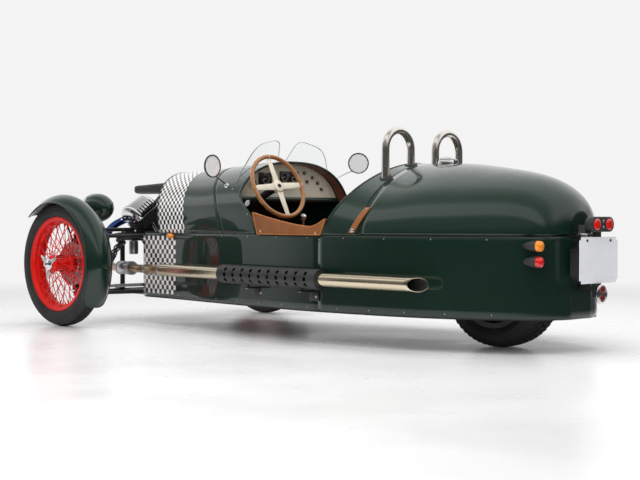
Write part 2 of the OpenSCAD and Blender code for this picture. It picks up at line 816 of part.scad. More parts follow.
wing_r = 382;
wing_half = 80;
wing_crown = 45;
wing_t = 3.5;
wing_front = 45;
wing_rear = 36;

wing_steps = 12;
// Radius of a wing at distance z from its middle, and that distance at each step across it
function crown(z) = wing_r - wing_crown * (z / wing_half) ^ 2;
function across(i) = wing_half * (2 * i / wing_steps - 1);

module wing(side) color("#12291f") sided(side) {
    translate([wheel_x, front_axle_y, front_z]) along_x() rotate(90 - wing_rear)
        rotate_extrude(angle = 180 - wing_front + wing_rear) polygon(concat(
            [for (i = [0:wing_steps]) let (z = across(i)) [crown(z), z]],
            [for (i = [wing_steps:-1:0]) let (z = across(i)) [crown(z) - wing_t, z]]
        ));
    high = upper_ball_z - eye_h / 2 - 4;
    seat_x = king_x + upright_out + seat_gap;
    stay_x = seat_x + stay_r + seat_gap;
    translate([seat_x, front_axle_y - 20, high - 14]) cube([4, 40, 14]);
    for (a = [-22, 42]) {
        edge = crown(wing_half - 6) - wing_t / 2;
        rod([stay_x, front_axle_y + sign(a) * 12, high - 6],
            [wheel_x - wing_half + 6, front_axle_y + edge * sin(a), front_z + edge * cos(a)], stay_r);
    }
}

// Wheels

rim_wall = 6;
flange_h = 18;
flange_t = 5;

// Ring section of a tyre from the bead to the tread, about Z
module tyre_section(r, w, rim_r, rim_w, square) {
    seat = rim_r - flange_h + seat_gap;
    bead = rim_w / 2 - flange_t - seat_gap;
    wide = mix(rim_r, r, 0.42);
    steps = 10;
    side = [
        [seat, bead],
        [rim_r + 2, bead],
        for (i = [0:steps]) let (a = 90 * i / steps)
            [wide + (r - wide) * sin(a) ^ (2 / square), w / 2 * cos(a) ^ (2 / square)]
    ];
    polygon(concat(side, [for (i = [len(side) - 2:-1:0]) [side[i][0], -side[i][1]]]));
}

module rim_section(rim_r, rim_w) {
    half = rim_w / 2;
    seat = rim_r - flange_h;
    polygon([
        [seat - rim_wall, -half], [rim_r, -half], [rim_r, flange_t - half], [seat, flange_t - half],
        [seat, half - flange_t], [rim_r, half - flange_t], [rim_r, half], [seat - rim_wall, half]
    ]);
}

module front_place(side) {
    sided(side) translate([wheel_x, front_axle_y, front_z]) along_x() children();
}
module rear_place() { translate([0, rear_axle_y, rear_z]) along_x() children(); }

module tyre_front(side) color("#1c1c1c") front_place(side)
    rotate_extrude($fn = 96) tyre_section(front_tyre_r, front_tyre_w, front_rim_r, front_rim_w, 2.3);

hub_barrel_r = 32;
hub_flange_r = 46;
// Inner and outer spoke flange
hub_flange_z = [-36, 70];
spoke_swing = 32;

module wheel_front(side) color("firebrick") front_place(side) difference() {
    spoke_end = front_rim_r - flange_h - rim_wall / 2;
    union() {
        rotate_extrude($fn = 96) rim_section(front_rim_r, front_rim_w);
        translate([0, 0, -hub_in]) cylinder(h = hub_in + hub_out, r = hub_barrel_r);
        for (z = hub_flange_z) translate([0, 0, z - 5]) cylinder(h = 10, r = hub_flange_r);
        translate([0, 0, -disc_in]) cylinder(h = disc_t, r = disc_r);
        for (s = [-1, 1], lean = [-1, 1], i = [0:spokes_per_set - 1]) {
            turn = 360 * (i + (lean > 0 ? 0 : 0.5) + (s > 0 ? 0 : 0.25)) / spokes_per_set;
            hub_a = turn + lean * spoke_swing;
            foot_z = hub_flange_z[s > 0 ? 1 : 0] + s * lean * 2;
            rod([(hub_flange_r - 4) * cos(hub_a), (hub_flange_r - 4) * sin(hub_a), foot_z],
                [spoke_end * cos(turn), spoke_end * sin(turn), s * (14 + lean * 5)], spoke_r, $fn = 8);
        }
    }
    translate([0, 0, -hub_in - 20]) cylinder(h = hub_in + hub_out + 40, r = spindle_r + run_gap);
}

spinner_l = 30;
ears = 3;
ear_l = 84;
ear_turn = 115;

module spinner(side) color("gainsboro") front_place(side) translate([0, 0, hub_out + seat_gap]) {
    cylinder(h = 12, r = hub_barrel_r + 2);
    translate([0, 0, 12]) cylinder(h = spinner_l - 12, r1 = hub_barrel_r - 4, r2 = 12);
    translate([0, 0, 2.5]) linear_extrude(8) for (i = [0:ears - 1]) rotate(ear_turn + 360 * i / ears)
        polygon([[0, -15], [ear_l, -5], [ear_l, 5], [0, 15]]);
}

module tyre_rear() color("#1c1c1c") rear_place()
    rotate_extrude($fn = 96) tyre_section(rear_tyre_r, rear_tyre_w, rear_rim_r, rear_rim_w, 3.2);

rear_rim_w = rear_tyre_w - 20;
axle_r = 14;
rear_hub_half = 104;
rear_hub_r = 45;
rear_arms = 8;

module wheel_rear() color("#2a2a2a") rear_place() difference() {
    union() {
        rotate_extrude($fn = 96) rim_section(rear_rim_r, rear_rim_w);
        cylinder(h = 2 * rear_hub_half, r = rear_hub_r, center = true);
        for (i = [0:rear_arms - 1]) rotate(360 * i / rear_arms)
            translate([0, -16, -20]) cube([rear_rim_r - flange_h - 2, 32, 40]);
    }
    cylinder(h = 3 * rear_hub_half, r = axle_r + run_gap, center = true);
}

arm_x = 126;
arm_r = 18;

module swingarm() color("dimgray") {
    rod([-pivot_half, pivot_y, rear_z], [pivot_half, pivot_y, rear_z], pivot_r);
    rod([-pivot_half - 14, pivot_y, rear_z], [pivot_half + 14, pivot_y, rear_z], pivot_pin_r);
    rod([-arm_x, rear_axle_y, rear_z], [arm_x, rear_axle_y, rear_z], axle_r);
    both() {
        rod([arm_x, pivot_y, rear_z], [arm_x, rear_axle_y, rear_z], arm_r);
        rod([arm_x - arm_r - 2, rear_axle_y, rear_z], [arm_x + arm_r + 2, rear_axle_y, rear_z], 26);
    }
}

boot_z = 500;
boot_t = 4;
hump_r = rear_tyre_r + tyre_room + 5;
boot_front = lid_front + 14;

// Boot floor with a box over the rear wheel
module boot_floor() color("darkslategray") {
    difference() {
        union() {
            translate([0, 0, boot_z - boot_t]) linear_extrude(boot_t)
                plan(boot_front, tail_y - wall - seat_gap, wall + seat_gap);
            intersection() {
                rear_place() cylinder(h = 2 * wheel_slot_half, r = hump_r, center = true, $fn = 96);
                translate([-500, boot_front, boot_z - boot_t]) cube([1000, 2000, 1000]);
            }
        }
        rear_place()
            cylinder(h = 2 * (wheel_slot_half - boot_t), r = hump_r - boot_t, center = true, $fn = 96);
    }
}

// Tail lid and its hinge

hinge_pin_r = 4;
hinge_r = 8;
hinge_y = tail_y + 9;
hinge_z = waist_z + lid_gap - 1;
hinge_in = 25;
hinge_out = 45;
leaf_t = 3;
leaf_l = 45;
lid_rows = 15;
lid_cols = 32;

function lid_place(t) = lid_front + (tail_y - lid_front) * (1 - (1 - t) ^ 1.6);
// One ring of the lid at y, moved out by d and drawn in by s towards the foot of the tail
function lid_ring(y, d, s) =
    let (low = angle_at(y, waist_z + lid_gap), foot = waist_z + lid_gap)
    [for (j = [0:lid_cols]) let (p = body_xz(y, mix(low, 180 - low, j / lid_cols), d))
        [s * p[0], min(y, tail_y + d), foot + s * (p[1] - foot)]];
function lid_grid(d) = concat(
    [for (i = [0:lid_rows]) lid_ring(lid_place(i / lid_rows), d, 1)],
    [lid_ring(tail_y, d, 0.02)]
);

module tail_lid() color("#12291f") shell(lid_grid(0), lid_grid(-skin));

module lid_hinge() color("silver") difference() {
    union() {
        translate([0, hinge_y, hinge_z]) along_x() cylinder(h = 2 * hinge_in, r = hinge_r, center = true);
        translate([-hinge_in, tail_y + seat_gap, hinge_z]) cube([2 * hinge_in, leaf_t, leaf_l]);
    }
    translate([0, hinge_y, hinge_z]) along_x()
        cylinder(h = 4 * hinge_in, r = hinge_pin_r + run_gap, center = true);
}

cap_y = 790;
cap_r = 48;

module filler_cap() color("silver") translate([0, cap_y, shape(cap_y - cap_r, CREST) + seat_gap]) {
    cylinder(h = 12, r = cap_r);
    translate([0, 0, 12]) cylinder(h = 14, r1 = cap_r - 6, r2 = cap_r - 16);
}

strap_w = 36;
strap_foot = [610, 522];
strap_head = [667, 640];
strap_lift = 0.6;
strap_t = 3;

strap_low = angle_at(strap_foot[0], strap_foot[1]);
strap_high = angle_at(strap_head[0], strap_head[1]);
function strap_lead(a) = mix(strap_foot[0], strap_head[0], (a - strap_low) / (strap_high - strap_low));

module lid_straps() color("sienna") both() panel(
    function (a) strap_lead(a),
    function (a) strap_lead(a) + strap_w,
    strap_low, strap_high, strap_lift + strap_t, strap_lift, rows = 2, cols = 8
);

// Lamps, mirrors and plate

// Keeps a piece off the lower sides
module clear_of_sides() difference() {
    children();
    translate([0, 0, floor_z]) linear_extrude(waist_z - floor_z) plan(body_front, tail_y, -seat_gap);
}

lamp_front = lamp_bar_y - 25;
bowl_l = 155;
glass_t = 6;

module lamp_place() { both() translate([lamp_x, lamp_front, lamp_z]) along_y() children(); }

module headlamps() color("#12291f") lamp_place() rotate_extrude() {
    r = lamp_d / 2;
    steps = 10;
    polygon(concat(
        [[0, 50], [r - 8, glass_t], [r - 8, 0], [r, 0], [r, 45]],
        [for (i = [1:steps]) let (a = 90 * i / steps) [r * cos(a), 45 + (bowl_l - 45) * sin(a)]]
    ));
}

module headlamp_glass() color("white", 0.5) lamp_place()
    cylinder(h = glass_t - seat_gap, r = lamp_d / 2 - 8 - seat_gap);

mirror_r = 58;
// Mirrors: side, distance from the middle, place along the length, height, degrees turned inward
mirror_rows = [[1, 540, -315, 855, 6], [-1, 540, -315, 900, 46]];
mirror_foot = [-420, 759];
// Direction in which the body faces there
mirror_lean = [0.8, 0, 0.6];

module mirrors() color("silver") for (m = mirror_rows) sided(m[0]) {
    foot = body_point(mirror_foot[0], angle_at(mirror_foot[0], mirror_foot[1]));
    head = [m[1], m[2], m[3]];
    back = [sin(m[4]), -cos(m[4]), 0];
    joint = head + 24 * back - [8, 0, 18];
    rod(foot + mirror_lean, foot + 14 * mirror_lean, 8);
    rod(foot + 9 * mirror_lean, joint, 5);
    rod(joint, head + 10 * back, 5);
    translate(joint) sphere(r = 5 + elbow);
    translate(head) rotate(m[4]) along_y() rotate_extrude()
        polygon([[0, -26], [22, -24], [44, -14], [mirror_r - 2, 0], [mirror_r, 6], [mirror_r, 12], [0, 12]]);
}

side_lamp_r = 25;
side_lamp_x = 272;
side_lamp_y = [1436, 1512];
side_lamp_lens = 25;
amber_z = 471;
red_z = 403;
marker_y = -898;
marker_z = 494;
marker_half = 26;
marker_r = 14;

// Bullet lens behind a side lamp's housing
module side_lens(z) {
    translate([side_lamp_x, side_lamp_y[1] + seat_gap, z]) along_y()
        cylinder(h = side_lamp_lens, r1 = side_lamp_r - 1, r2 = side_lamp_r - 10);
}

module amber_lamps() color("orange") both() {
    side_lens(amber_z);
    clear_of_sides() hull() for (s = [-1, 1])
        translate([half_w(marker_y) - 10, marker_y + s * marker_half, marker_z]) along_x()
            cylinder(h = 34, r1 = marker_r, r2 = marker_r - 5, $fn = 24);
}

pod_rear = overall_l / 2;
pod_front = pod_rear - 47;
plate_y = pod_rear - 30;
pod_x = 84;
pod_z = 564;
pod_h = 66;
lens_x = 47;
lens_r = 25;
low_lamp_z = 262;
low_lamp_r = 42;

module red_lamps() color("red") {
    both() {
        side_lens(red_z);
        translate([lens_x, pod_rear - 10, pod_z]) along_y()
            cylinder(h = 10, r1 = lens_r, r2 = lens_r - 5);
    }
    for (dz = [-18, 20])
        translate([0, pod_rear - 10 + seat_gap, low_lamp_z + dz]) along_y() cylinder(h = 5, r = 17);
}

module tail_lamps() color("#222222") {
    both() clear_of_sides() for (z = [amber_z, red_z]) {
        translate([side_lamp_x, side_lamp_y[0], z]) along_y()
            cylinder(h = side_lamp_y[1] - side_lamp_y[0], r1 = 9, r2 = side_lamp_r);
        stalk_y = side_lamp_y[1] - 35;
        rod([side_lamp_x - 90, stalk_y, z], [side_lamp_x, stalk_y, z], 7);
    }
    difference() {
        translate([0, pod_front, pod_z]) along_y() linear_extrude(pod_rear - 5 - pod_front) pod_outline();
        for (s = [-1, 1]) translate([s * lens_x, pod_rear - 10 - seat_gap, pod_z]) along_y()
            cylinder(h = 30, r = lens_r + seat_gap);
    }
    translate([0, plate_y + seat_gap, low_lamp_z]) along_y()
        cylinder(h = pod_rear - 10 - plate_y - seat_gap, r1 = 30, r2 = low_lamp_r);
}
module pod_outline() {
    for (s = [-1, 1]) translate([s * (pod_x - pod_h / 2), 0]) circle(pod_h / 2);
    square([2 * pod_x - pod_h, pod_h], center = true);
}

plate_z = 409;
plate_t = 2;
hole_z = plate_z + plate_h / 2 - 15;
bar_w = 40;
bar_t = 18;

module number_plate() color("white") difference() {
    translate([-plate_w / 2, plate_y + seat_gap, plate_z - plate_h / 2]) cube([plate_w, plate_t, plate_h]);
    plate_holes();
}
module plate_holes() {
    for (s = [-1, 1]) translate([s * plate_hole_spacing / 2, plate_y - 40, hole_z]) along_y()
        cylinder(h = 80, r = plate_hole_r);
}

// Post behind the tail that carries plate and lamps, with the fixed half of the lid's hinge
module tail_bracket() color("black") {
    difference() {
        union() {
            bar_foot = low_lamp_z - 14;
            translate([-bar_w / 2, plate_y - bar_t, bar_foot])
                cube([bar_w, bar_t, pod_z - pod_h / 2 - seat_gap - bar_foot]);
            translate([-100, tail_y + 12, plate_z - 70]) cube([200, plate_y - tail_y - 12, 120]);
            translate([-plate_hole_spacing / 2 - 15, plate_y - bar_t, hole_z - 12])
                cube([plate_hole_spacing + 30, bar_t, 24]);
            for (z = [low_lamp_z + 14, plate_z + 20])
                translate([-15, tail_y + seat_gap, z]) cube([30, plate_y - tail_y - bar_t + 1, 20]);
        }
        plate_holes();
    }
    for (s = [-1, 1]) translate([s * (hinge_in + hinge_out + pass_gap) / 2, 0, 0]) {
        w = hinge_out - hinge_in - pass_gap;
        translate([0, hinge_y, hinge_z]) along_x() cylinder(h = w, r = hinge_r, center = true);
        translate([-w / 2, tail_y + seat_gap, hinge_z - leaf_l]) cube([w, leaf_t, leaf_l]);
    }
    translate([0, hinge_y, hinge_z]) along_x() cylinder(h = 2 * hinge_out, r = hinge_pin_r, center = true);
}

chassis_frame();
tow_eye();
floor_pan();
body_sides();
bonnet();
scuttle();
rear_cowl();
bulkhead();
roll_hoops();
aero_screens();
dashboard();
steering_column();
seat_cushions();
seat_backs();
elbow_pads();
gear_lever();
gearbox();
crankcase();
cylinders();
rocker_covers();
intake();
exhausts();
heat_shields();
wishbones();
dampers();
headlamps();
headlamp_glass();
mirrors();
amber_lamps();
red_lamps();
tail_lamps();
tail_bracket();
number_plate();
boot_floor();
swingarm();
steering_wheel();
tie_rods();
knuckle(1);  // knuckle_left
knuckle(-1);  // knuckle_right
wing(1);  // wing_left
wing(-1);  // wing_right
tyre_front(1);  // tyre_front_left
tyre_front(-1);  // tyre_front_right
tyre_rear();
wheel_front(1);  // wheel_front_left
wheel_front(-1);  // wheel_front_right
wheel_rear();
spinner(1);  // spinner_left
spinner(-1);  // spinner_right
tail_lid();
lid_hinge();
filler_cap();
lid_straps();
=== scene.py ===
"""Finished looks of an open three-wheeled sports car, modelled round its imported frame."""

import json
import math

import bmesh
import bpy
from mathutils import Matrix, Vector


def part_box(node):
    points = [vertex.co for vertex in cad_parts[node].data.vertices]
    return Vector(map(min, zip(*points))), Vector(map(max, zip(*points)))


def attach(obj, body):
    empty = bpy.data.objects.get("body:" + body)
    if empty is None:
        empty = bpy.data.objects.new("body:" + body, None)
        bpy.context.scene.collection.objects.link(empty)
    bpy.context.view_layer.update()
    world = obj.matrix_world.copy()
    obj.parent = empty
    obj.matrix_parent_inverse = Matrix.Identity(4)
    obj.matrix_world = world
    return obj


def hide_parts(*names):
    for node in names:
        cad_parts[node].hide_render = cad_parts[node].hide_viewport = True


bl_info = {
    "name": "Three-Wheeled Sports Car",
    "version": (1, 0, 0),
    "blender": (4, 5, 0),
    "location": "View3D > Sidebar > Three-Wheeler",
    "description": "Models and finishes an open three-wheeled sports car",
    "category": "Object",
}

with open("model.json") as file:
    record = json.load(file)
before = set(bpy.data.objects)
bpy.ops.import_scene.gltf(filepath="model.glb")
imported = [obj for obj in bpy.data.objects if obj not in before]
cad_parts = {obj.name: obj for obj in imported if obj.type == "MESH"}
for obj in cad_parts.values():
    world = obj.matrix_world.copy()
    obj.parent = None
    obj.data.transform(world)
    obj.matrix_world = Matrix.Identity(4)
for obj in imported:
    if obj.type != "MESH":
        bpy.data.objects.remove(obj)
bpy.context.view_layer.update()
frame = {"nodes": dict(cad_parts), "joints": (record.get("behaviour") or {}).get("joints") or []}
JOINTS = {joint["name"]: joint for joint in frame["joints"]}

# Places that the frame gives, in metres: +X the car's left, +Y its rear, +Z up
FRONT_AXLE = Vector(JOINTS["spin_front_left"]["pos_m"])
REAR_AXLE = Vector(JOINTS["spin_rear"]["pos_m"])
STEERING_HUB = Vector(JOINTS["steering_wheel_turn"]["pos_m"])
STEERING_AXIS = Vector(JOINTS["steering_wheel_turn"]["axis"])
SIDES = {"left": 1, "right": -1}

# Body sections: place along the car, half width at the waist, height of the crest, squareness
STATION, HALF_WIDTH, CREST, SQUARE = range(4)
SECTIONS = (
    (-1.195, 0.300, 0.855, 2.30),
    (-0.805, 0.350, 0.868, 2.40),
    (-0.450, 0.406, 0.886, 2.50),
    (-0.105, 0.455, 0.890, 2.50),
    (0.291, 0.499, 0.874, 2.20),
    (0.640, 0.497, 0.856, 1.75),
    (0.940, 0.470, 0.846, 1.80),
    (1.150, 0.415, 0.821, 1.85),
    (1.300, 0.352, 0.795, 1.90),
    (1.395, 0.300, 0.765, 1.95),
    (1.470, 0.235, 0.722, 2.00),
    (1.520, 0.150, 0.673, 2.10),
    (1.545, 0.075, 0.622, 2.20),
)
BODY_FRONT = SECTIONS[0][STATION]
TAIL = SECTIONS[-1][STATION]
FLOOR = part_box("body_sides")[0].z
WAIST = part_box("body_sides")[1].z
SKIN = 0.005
WALL = 0.012
PANEL_SEAM = 0.416
LID_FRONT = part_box("tail_lid")[0].y
LID_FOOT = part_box("tail_lid")[0].z
CREST_ANGLE = math.pi / 2


def slope(row, column):
    """Slope of a column of the section table at one row."""
    before, after = max(row - 1, 0), min(row + 1, len(SECTIONS) - 1)
    rise = SECTIONS[after][column] - SECTIONS[before][column]
    return rise / (SECTIONS[after][STATION] - SECTIONS[before][STATION])


def shape(y, column):
    """Smooth value of a column of the section table at place y."""
    last = len(SECTIONS) - 2
    row = next((i for i in range(last) if y < SECTIONS[i + 1][STATION]), last)
    step = SECTIONS[row + 1][STATION] - SECTIONS[row][STATION]
    t = (y - SECTIONS[row][STATION]) / step
    return (
        (2 * t**3 - 3 * t**2 + 1) * SECTIONS[row][column]
        + (t**3 - 2 * t**2 + t) * step * slope(row, column)
        + (3 * t**2 - 2 * t**3) * SECTIONS[row + 1][column]
        + (t**3 - t**2) * step * slope(row + 1, column)
    )


def half_width(y):
    return shape(y, HALF_WIDTH)


def body_point(y, angle, out=0.0):
    """Point of the upper body at place y; angle 0 is the left waist, a quarter turn the crest."""
    power = 2 / shape(y, SQUARE)
    c, s = math.cos(angle), math.sin(angle)
    across = math.copysign(abs(c) ** power, c)
    return Vector((
        (half_width(y) + out) * across,
        y,
        WAIST + (shape(y, CREST) + out - WAIST) * max(s, 0.0) ** power,
    ))


def angle_at(y, z):
    """Angle at which the section at y reaches height z."""
    share = max(0.0, min(1.0, (z - WAIST) / (shape(y, CREST) - WAIST)))
    return math.asin(share ** (shape(y, SQUARE) / 2))


def body_normal(y, angle):
    """Outward direction of the upper body."""
    step = 0.004
    along = body_point(y + step, angle) - body_point(y - step, angle)
    round_ = body_point(y, angle + step) - body_point(y, max(angle - step, 0))
    return round_.cross(along).normalized() * -1


def mix(a, b, t):
    return a + (b - a) * t


def smooth_step(t):
    t = max(0.0, min(1.0, t))
    return 3 * t**2 - 2 * t**3


# Edges of the upper panels as places along the car for each angle, from the left waist to the right
BONNET_FRONT, BONNET_LEAN = -1.025, 0.120
SCUTTLE_FRONT, SCUTTLE_LEAN = -0.370, 0.270
COCKPIT_FRONT, SCUTTLE_SWEEP = -0.270, 0.195
COCKPIT_REAR, COWL_SWEEP = 0.440, 0.155
SEAM_GAP = 0.001
LID_GAP = 0.005


def bonnet_front(angle):
    return BONNET_FRONT - BONNET_LEAN * math.sin(angle)


def scuttle_front(angle):
    return SCUTTLE_FRONT - SCUTTLE_LEAN * math.sin(angle)


def bonnet_rear(angle):
    return scuttle_front(angle) - SEAM_GAP


def scuttle_rear(angle):
    return COCKPIT_FRONT + SCUTTLE_SWEEP * (1 - smooth_step(math.sin(angle) * 2))


def cowl_front(angle):
    return COCKPIT_REAR + COWL_SWEEP * math.sin(angle)


def cowl_rear(_angle):
    return LID_FRONT - LID_GAP


# Settings that a user would change


class CarColours(bpy.types.PropertyGroup):
    """Colours of the car's finishes"""

    def colour(name, description, default):
        return bpy.props.FloatVectorProperty(
            name=name, description=description, subtype="COLOR", size=3, min=0, max=1, default=default
        )

    body: colour("Body", "Paint of the body, wings and headlamps", (0.0035, 0.0165, 0.0105))
    wheels: colour("Wheels", "Paint of the wire wheels", (0.66, 0.010, 0.006))
    leather: colour("Leather", "Elbow pads, seats and straps", (0.25, 0.085, 0.021))
    lining: colour("Lining", "Leather lining of the cockpit", (0.16, 0.050, 0.022))
    wood: colour("Wood", "Rim of the steering wheel", (0.33, 0.135, 0.040))
    dash: colour("Dashboard", "Face of the dashboard", (0.86, 0.81, 0.66))
    chequer: colour("Chequer", "Pale squares of the chequered bands", (0.92, 0.91, 0.89))
    floor: colour("Floor", "Studio floor", (0.80, 0.80, 0.80))


class CarSizes(bpy.types.PropertyGroup):
    """Sizes of the details that the frame leaves open"""

    def length(name, description, default):
        return bpy.props.FloatProperty(name=name, description=description, unit="LENGTH", default=default)

    def count(name, description, default):
        return bpy.props.IntProperty(name=name, description=description, default=default)

    bonnet_square: length("Bonnet Square", "Side of a square on the bonnet", 0.0200)
    side_square: length("Side Square", "Side of a square on the lower panel", 0.0246)
    band: length("Band", "Length of the chequered band on the bonnet", 0.270)
    side_band: length("Side Band", "Length of the chequered lower panel", 0.3444)
    spokes: count("Spokes", "Spokes of one set of a wire wheel, four sets a wheel", 18)
    tread_blocks: count("Tread Blocks", "Blocks round one row of a front tyre", 84)
    screw: length("Screw", "Radius of a panel screw's head", 0.0045)


def colours():
    return bpy.context.scene.car_colours


def sizes():
    return bpy.context.scene.car_sizes


# Mesh tools


def join(bm, part, mat=0, matrix=None):
    """Adds a finished part to a piece's mesh."""
    if matrix is not None:
        bmesh.ops.transform(part, matrix=matrix, verts=part.verts)
    for face in part.faces:
        face.material_index = mat
    mesh = bpy.data.meshes.new("part")
    part.to_mesh(mesh)
    part.free()
    bm.from_mesh(mesh)
    bpy.data.meshes.remove(mesh)


def listed(names):
    return [names] if isinstance(names, str) else names


def piece(name, bm, finishes, body, replaces=(), sharp=38, wall=0.0, rounding=0.0, levels=0):
    """Makes the mesh an object with named finishes that rides on a body."""
    mesh = bpy.data.meshes.new(name)
    bm.to_mesh(mesh)
    bm.free()
    mesh.polygons.foreach_set("use_smooth", [True] * len(mesh.polygons))
    mesh.set_sharp_from_angle(angle=math.radians(sharp))
    made = bpy.data.objects.new(name, mesh)
    bpy.context.scene.collection.objects.link(made)
    for finish in listed(finishes):
        mesh.materials.append(FINISHES[finish])
    if wall:
        solid = made.modifiers.new("Wall", "SOLIDIFY")
        solid.thickness = wall
        solid.offset = -1
    if rounding:
        bevel = made.modifiers.new("Rounding", "BEVEL")
        bevel.width = rounding
        bevel.segments = 2
        bevel.limit_method = "ANGLE"
        bevel.angle_limit = math.radians(50)
    if levels:
        surface = made.modifiers.new("Surface", "SUBSURF")
        surface.levels = surface.render_levels = levels
    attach(made, body)
    if replaces:
        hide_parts(*listed(replaces))
    return made


def dress(node, finish):
    """Gives a piece that keeps its frame shape a finish."""
    mesh = frame["nodes"][node].data
    mesh.materials.clear()
    mesh.materials.append(FINISHES[finish])


def axis_matrix(at, direction):
    """Matrix that turns +Z to a direction and moves the origin to a point."""
    turn = Vector(direction).to_track_quat("Z", "Y").to_matrix().to_4x4()
    return Matrix.Translation(at) @ turn


# Turns local +Z to the rear
TO_REAR = Matrix.Rotation(-math.pi / 2, 4, "X")


def mirrored(side):
    """Matrix that keeps the left side and mirrors it for the right."""
    return Matrix.Scale(side, 4, (1, 0, 0))


def polar(r, angle, z=0.0):
    return Vector((r * math.cos(angle), r * math.sin(angle), z))


def arc(steps, first=0, turn=math.pi / 2):
    """Even angles of a turn, with both ends."""
    return [turn * i / steps for i in range(first, steps + 1)]


def wheel_matrix(centre, side=1):
    """Matrix of a wheel: local +Z points out of the car, local +X down."""
    turn = Matrix(((0, 0, 1, 0), (0, 1, 0, 0), (-1, 0, 0, 0), (0, 0, 0, 1)))
    return mirrored(side) @ Matrix.Translation(centre) @ turn


def face_out(part):
    bmesh.ops.remove_doubles(part, verts=part.verts, dist=1e-6)
    bmesh.ops.recalc_face_normals(part, faces=part.faces)


def bevel_edges(part, edges, width, segments=2):
    bmesh.ops.bevel(
        part, geom=edges, offset=width, offset_type="OFFSET", segments=segments, profile=0.5,
        affect="EDGES", clamp_overlap=True, material=-1,
    )


def add_rod(bm, a, b, radius, end_radius=None, sides=16, mat=0, bevel=0.0):
    """Round bar or cone from point a to point b."""
    a, b = Vector(a), Vector(b)
    part = bmesh.new()
    length = (b - a).length
    bmesh.ops.create_cone(
        part, cap_ends=True, segments=sides, radius1=radius,
        radius2=radius if end_radius is None else end_radius, depth=length,
        matrix=Matrix.Translation((0, 0, length / 2)),
    )
    if bevel:
        caps = [f for f in part.faces if len(f.verts) == sides]
        bevel_edges(part, list({e for f in caps for e in f.edges}), bevel)
    join(bm, part, mat, axis_matrix(a, b - a))


def add_box(bm, low, high, mat=0, bevel=0.0, matrix=None):
    """Block between two corners, with rounded edges."""
    low, high = Vector(low), Vector(high)
    part = bmesh.new()
    bmesh.ops.create_cube(part, size=1)
    bmesh.ops.scale(part, vec=high - low, verts=part.verts)
    bmesh.ops.translate(part, vec=(low + high) / 2, verts=part.verts)
    if bevel:
        bevel_edges(part, part.edges[:], bevel)
    join(bm, part, mat, matrix)


def add_lathe(bm, profile, matrix, steps=48, mat=0, start=0.0, angle=math.tau, closed=False):
    """Turns a profile of (radius, height) points about the local Z axis."""
    part = bmesh.new()
    full = abs(angle - math.tau) < 1e-6
    verts = [part.verts.new((r * math.cos(start), r * math.sin(start), z)) for r, z in profile]
    chain = list(zip(verts, verts[1:] + verts[:1])) if closed else list(zip(verts, verts[1:]))
    edges = [part.edges.new(pair) for pair in chain]
    bmesh.ops.spin(
        part, geom=verts + edges, cent=(0, 0, 0), axis=(0, 0, 1), angle=angle, steps=steps,
        use_merge=full, use_duplicate=False,
    )
    if closed and not full:
        bmesh.ops.holes_fill(part, edges=[e for e in part.edges if e.is_boundary], sides=0)
    bmesh.ops.transform(part, matrix=matrix, verts=part.verts)
    face_out(part)
    join(bm, part, mat)


def add_tube(bm, points, radius, mat=0, cyclic=False, round_route=True, detail=3):
    """Round bar along a route of points."""
    curve = bpy.data.curves.new("route", "CURVE")
    curve.dimensions = "3D"
    curve.bevel_depth = radius
    curve.bevel_resolution = detail
    curve.use_fill_caps = True
    curve.resolution_u = 8
    spline = curve.splines.new("BEZIER" if round_route else "POLY")
    if round_route:
        spline.bezier_points.add(len(points) - 1)
        for knot, at in zip(spline.bezier_points, points):
            knot.co = at
            knot.handle_left_type = knot.handle_right_type = "AUTO"
    else:
        spline.points.add(len(points) - 1)
        for knot, at in zip(spline.points, points):
            knot.co = (*at, 1)
    spline.use_cyclic_u = cyclic
    holder = bpy.data.objects.new("route", curve)
    mesh = bpy.data.meshes.new_from_object(holder)
    part = bmesh.new()
    part.from_mesh(mesh)
    face_out(part)
    join(bm, part, mat)
    bpy.data.objects.remove(holder)
    bpy.data.meshes.remove(mesh)
    bpy.data.curves.remove(curve)


def add_sheet(bm, cols, rows, point, inside, mat=0, uv=None):
    """Curved sheet from a grid; point(u, v) places it, and its faces look away from inside."""
    part = bmesh.new()
    layer = part.loops.layers.uv.verify()
    bmesh.ops.create_grid(part, x_segments=cols, y_segments=rows, size=0.5)
    place = {v: (v.co.x + 0.5, v.co.y + 0.5) for v in part.verts}
    for face in part.faces:
        for loop in face.loops:
            u, v = place[loop.vert]
            loop[layer].uv = uv(u, v) if uv else (u, v)
    for vert, (u, v) in place.items():
        vert.co = point(u, v)
    part.normal_update()
    away = sum(f.normal.dot(f.calc_center_median() - Vector(inside)) for f in part.faces)
    if away < 0:
        bmesh.ops.reverse_faces(part, faces=part.faces)
    join(bm, part, mat)


def add_screw(bm, at, normal, radius=None, mat=0):
    """Domed screw head on a surface."""
    r = radius or sizes().screw
    profile = [(0, 0.55 * r), (0.2 * r, 0.54 * r), (0.22 * r, 0.40 * r), (0.45 * r, 0.42 * r),
               (0.8 * r, 0.30 * r), (r, 0.10 * r), (r, -0.3 * r)]
    add_lathe(bm, profile, axis_matrix(at, normal), steps=12, mat=mat)


# Finishes

GROUPS = {}
FINISHES = {}
CHEQUER_BLACK = (0.004, 0.006, 0.005)
CHEQUER_ROWS = 14


def feed(tree, socket, value):
    """Links a socket to another node's output, or sets its value."""
    if isinstance(value, bpy.types.NodeSocket):
        tree.links.new(value, socket)
    else:
        socket.default_value = value


def add_node(tree, kind, inputs=None, **settings):
    """Shader node with its settings made and its sockets fed, by name or number."""
    node = tree.nodes.new(f"ShaderNode{kind}")
    for key, value in settings.items():
        setattr(node, key, value)
    for socket, value in (inputs or {}).items():
        feed(tree, node.inputs[socket], value)
    return node


def maths(tree, operation, *values):
    return add_node(tree, "Math", dict(enumerate(values)), operation=operation).outputs[0]


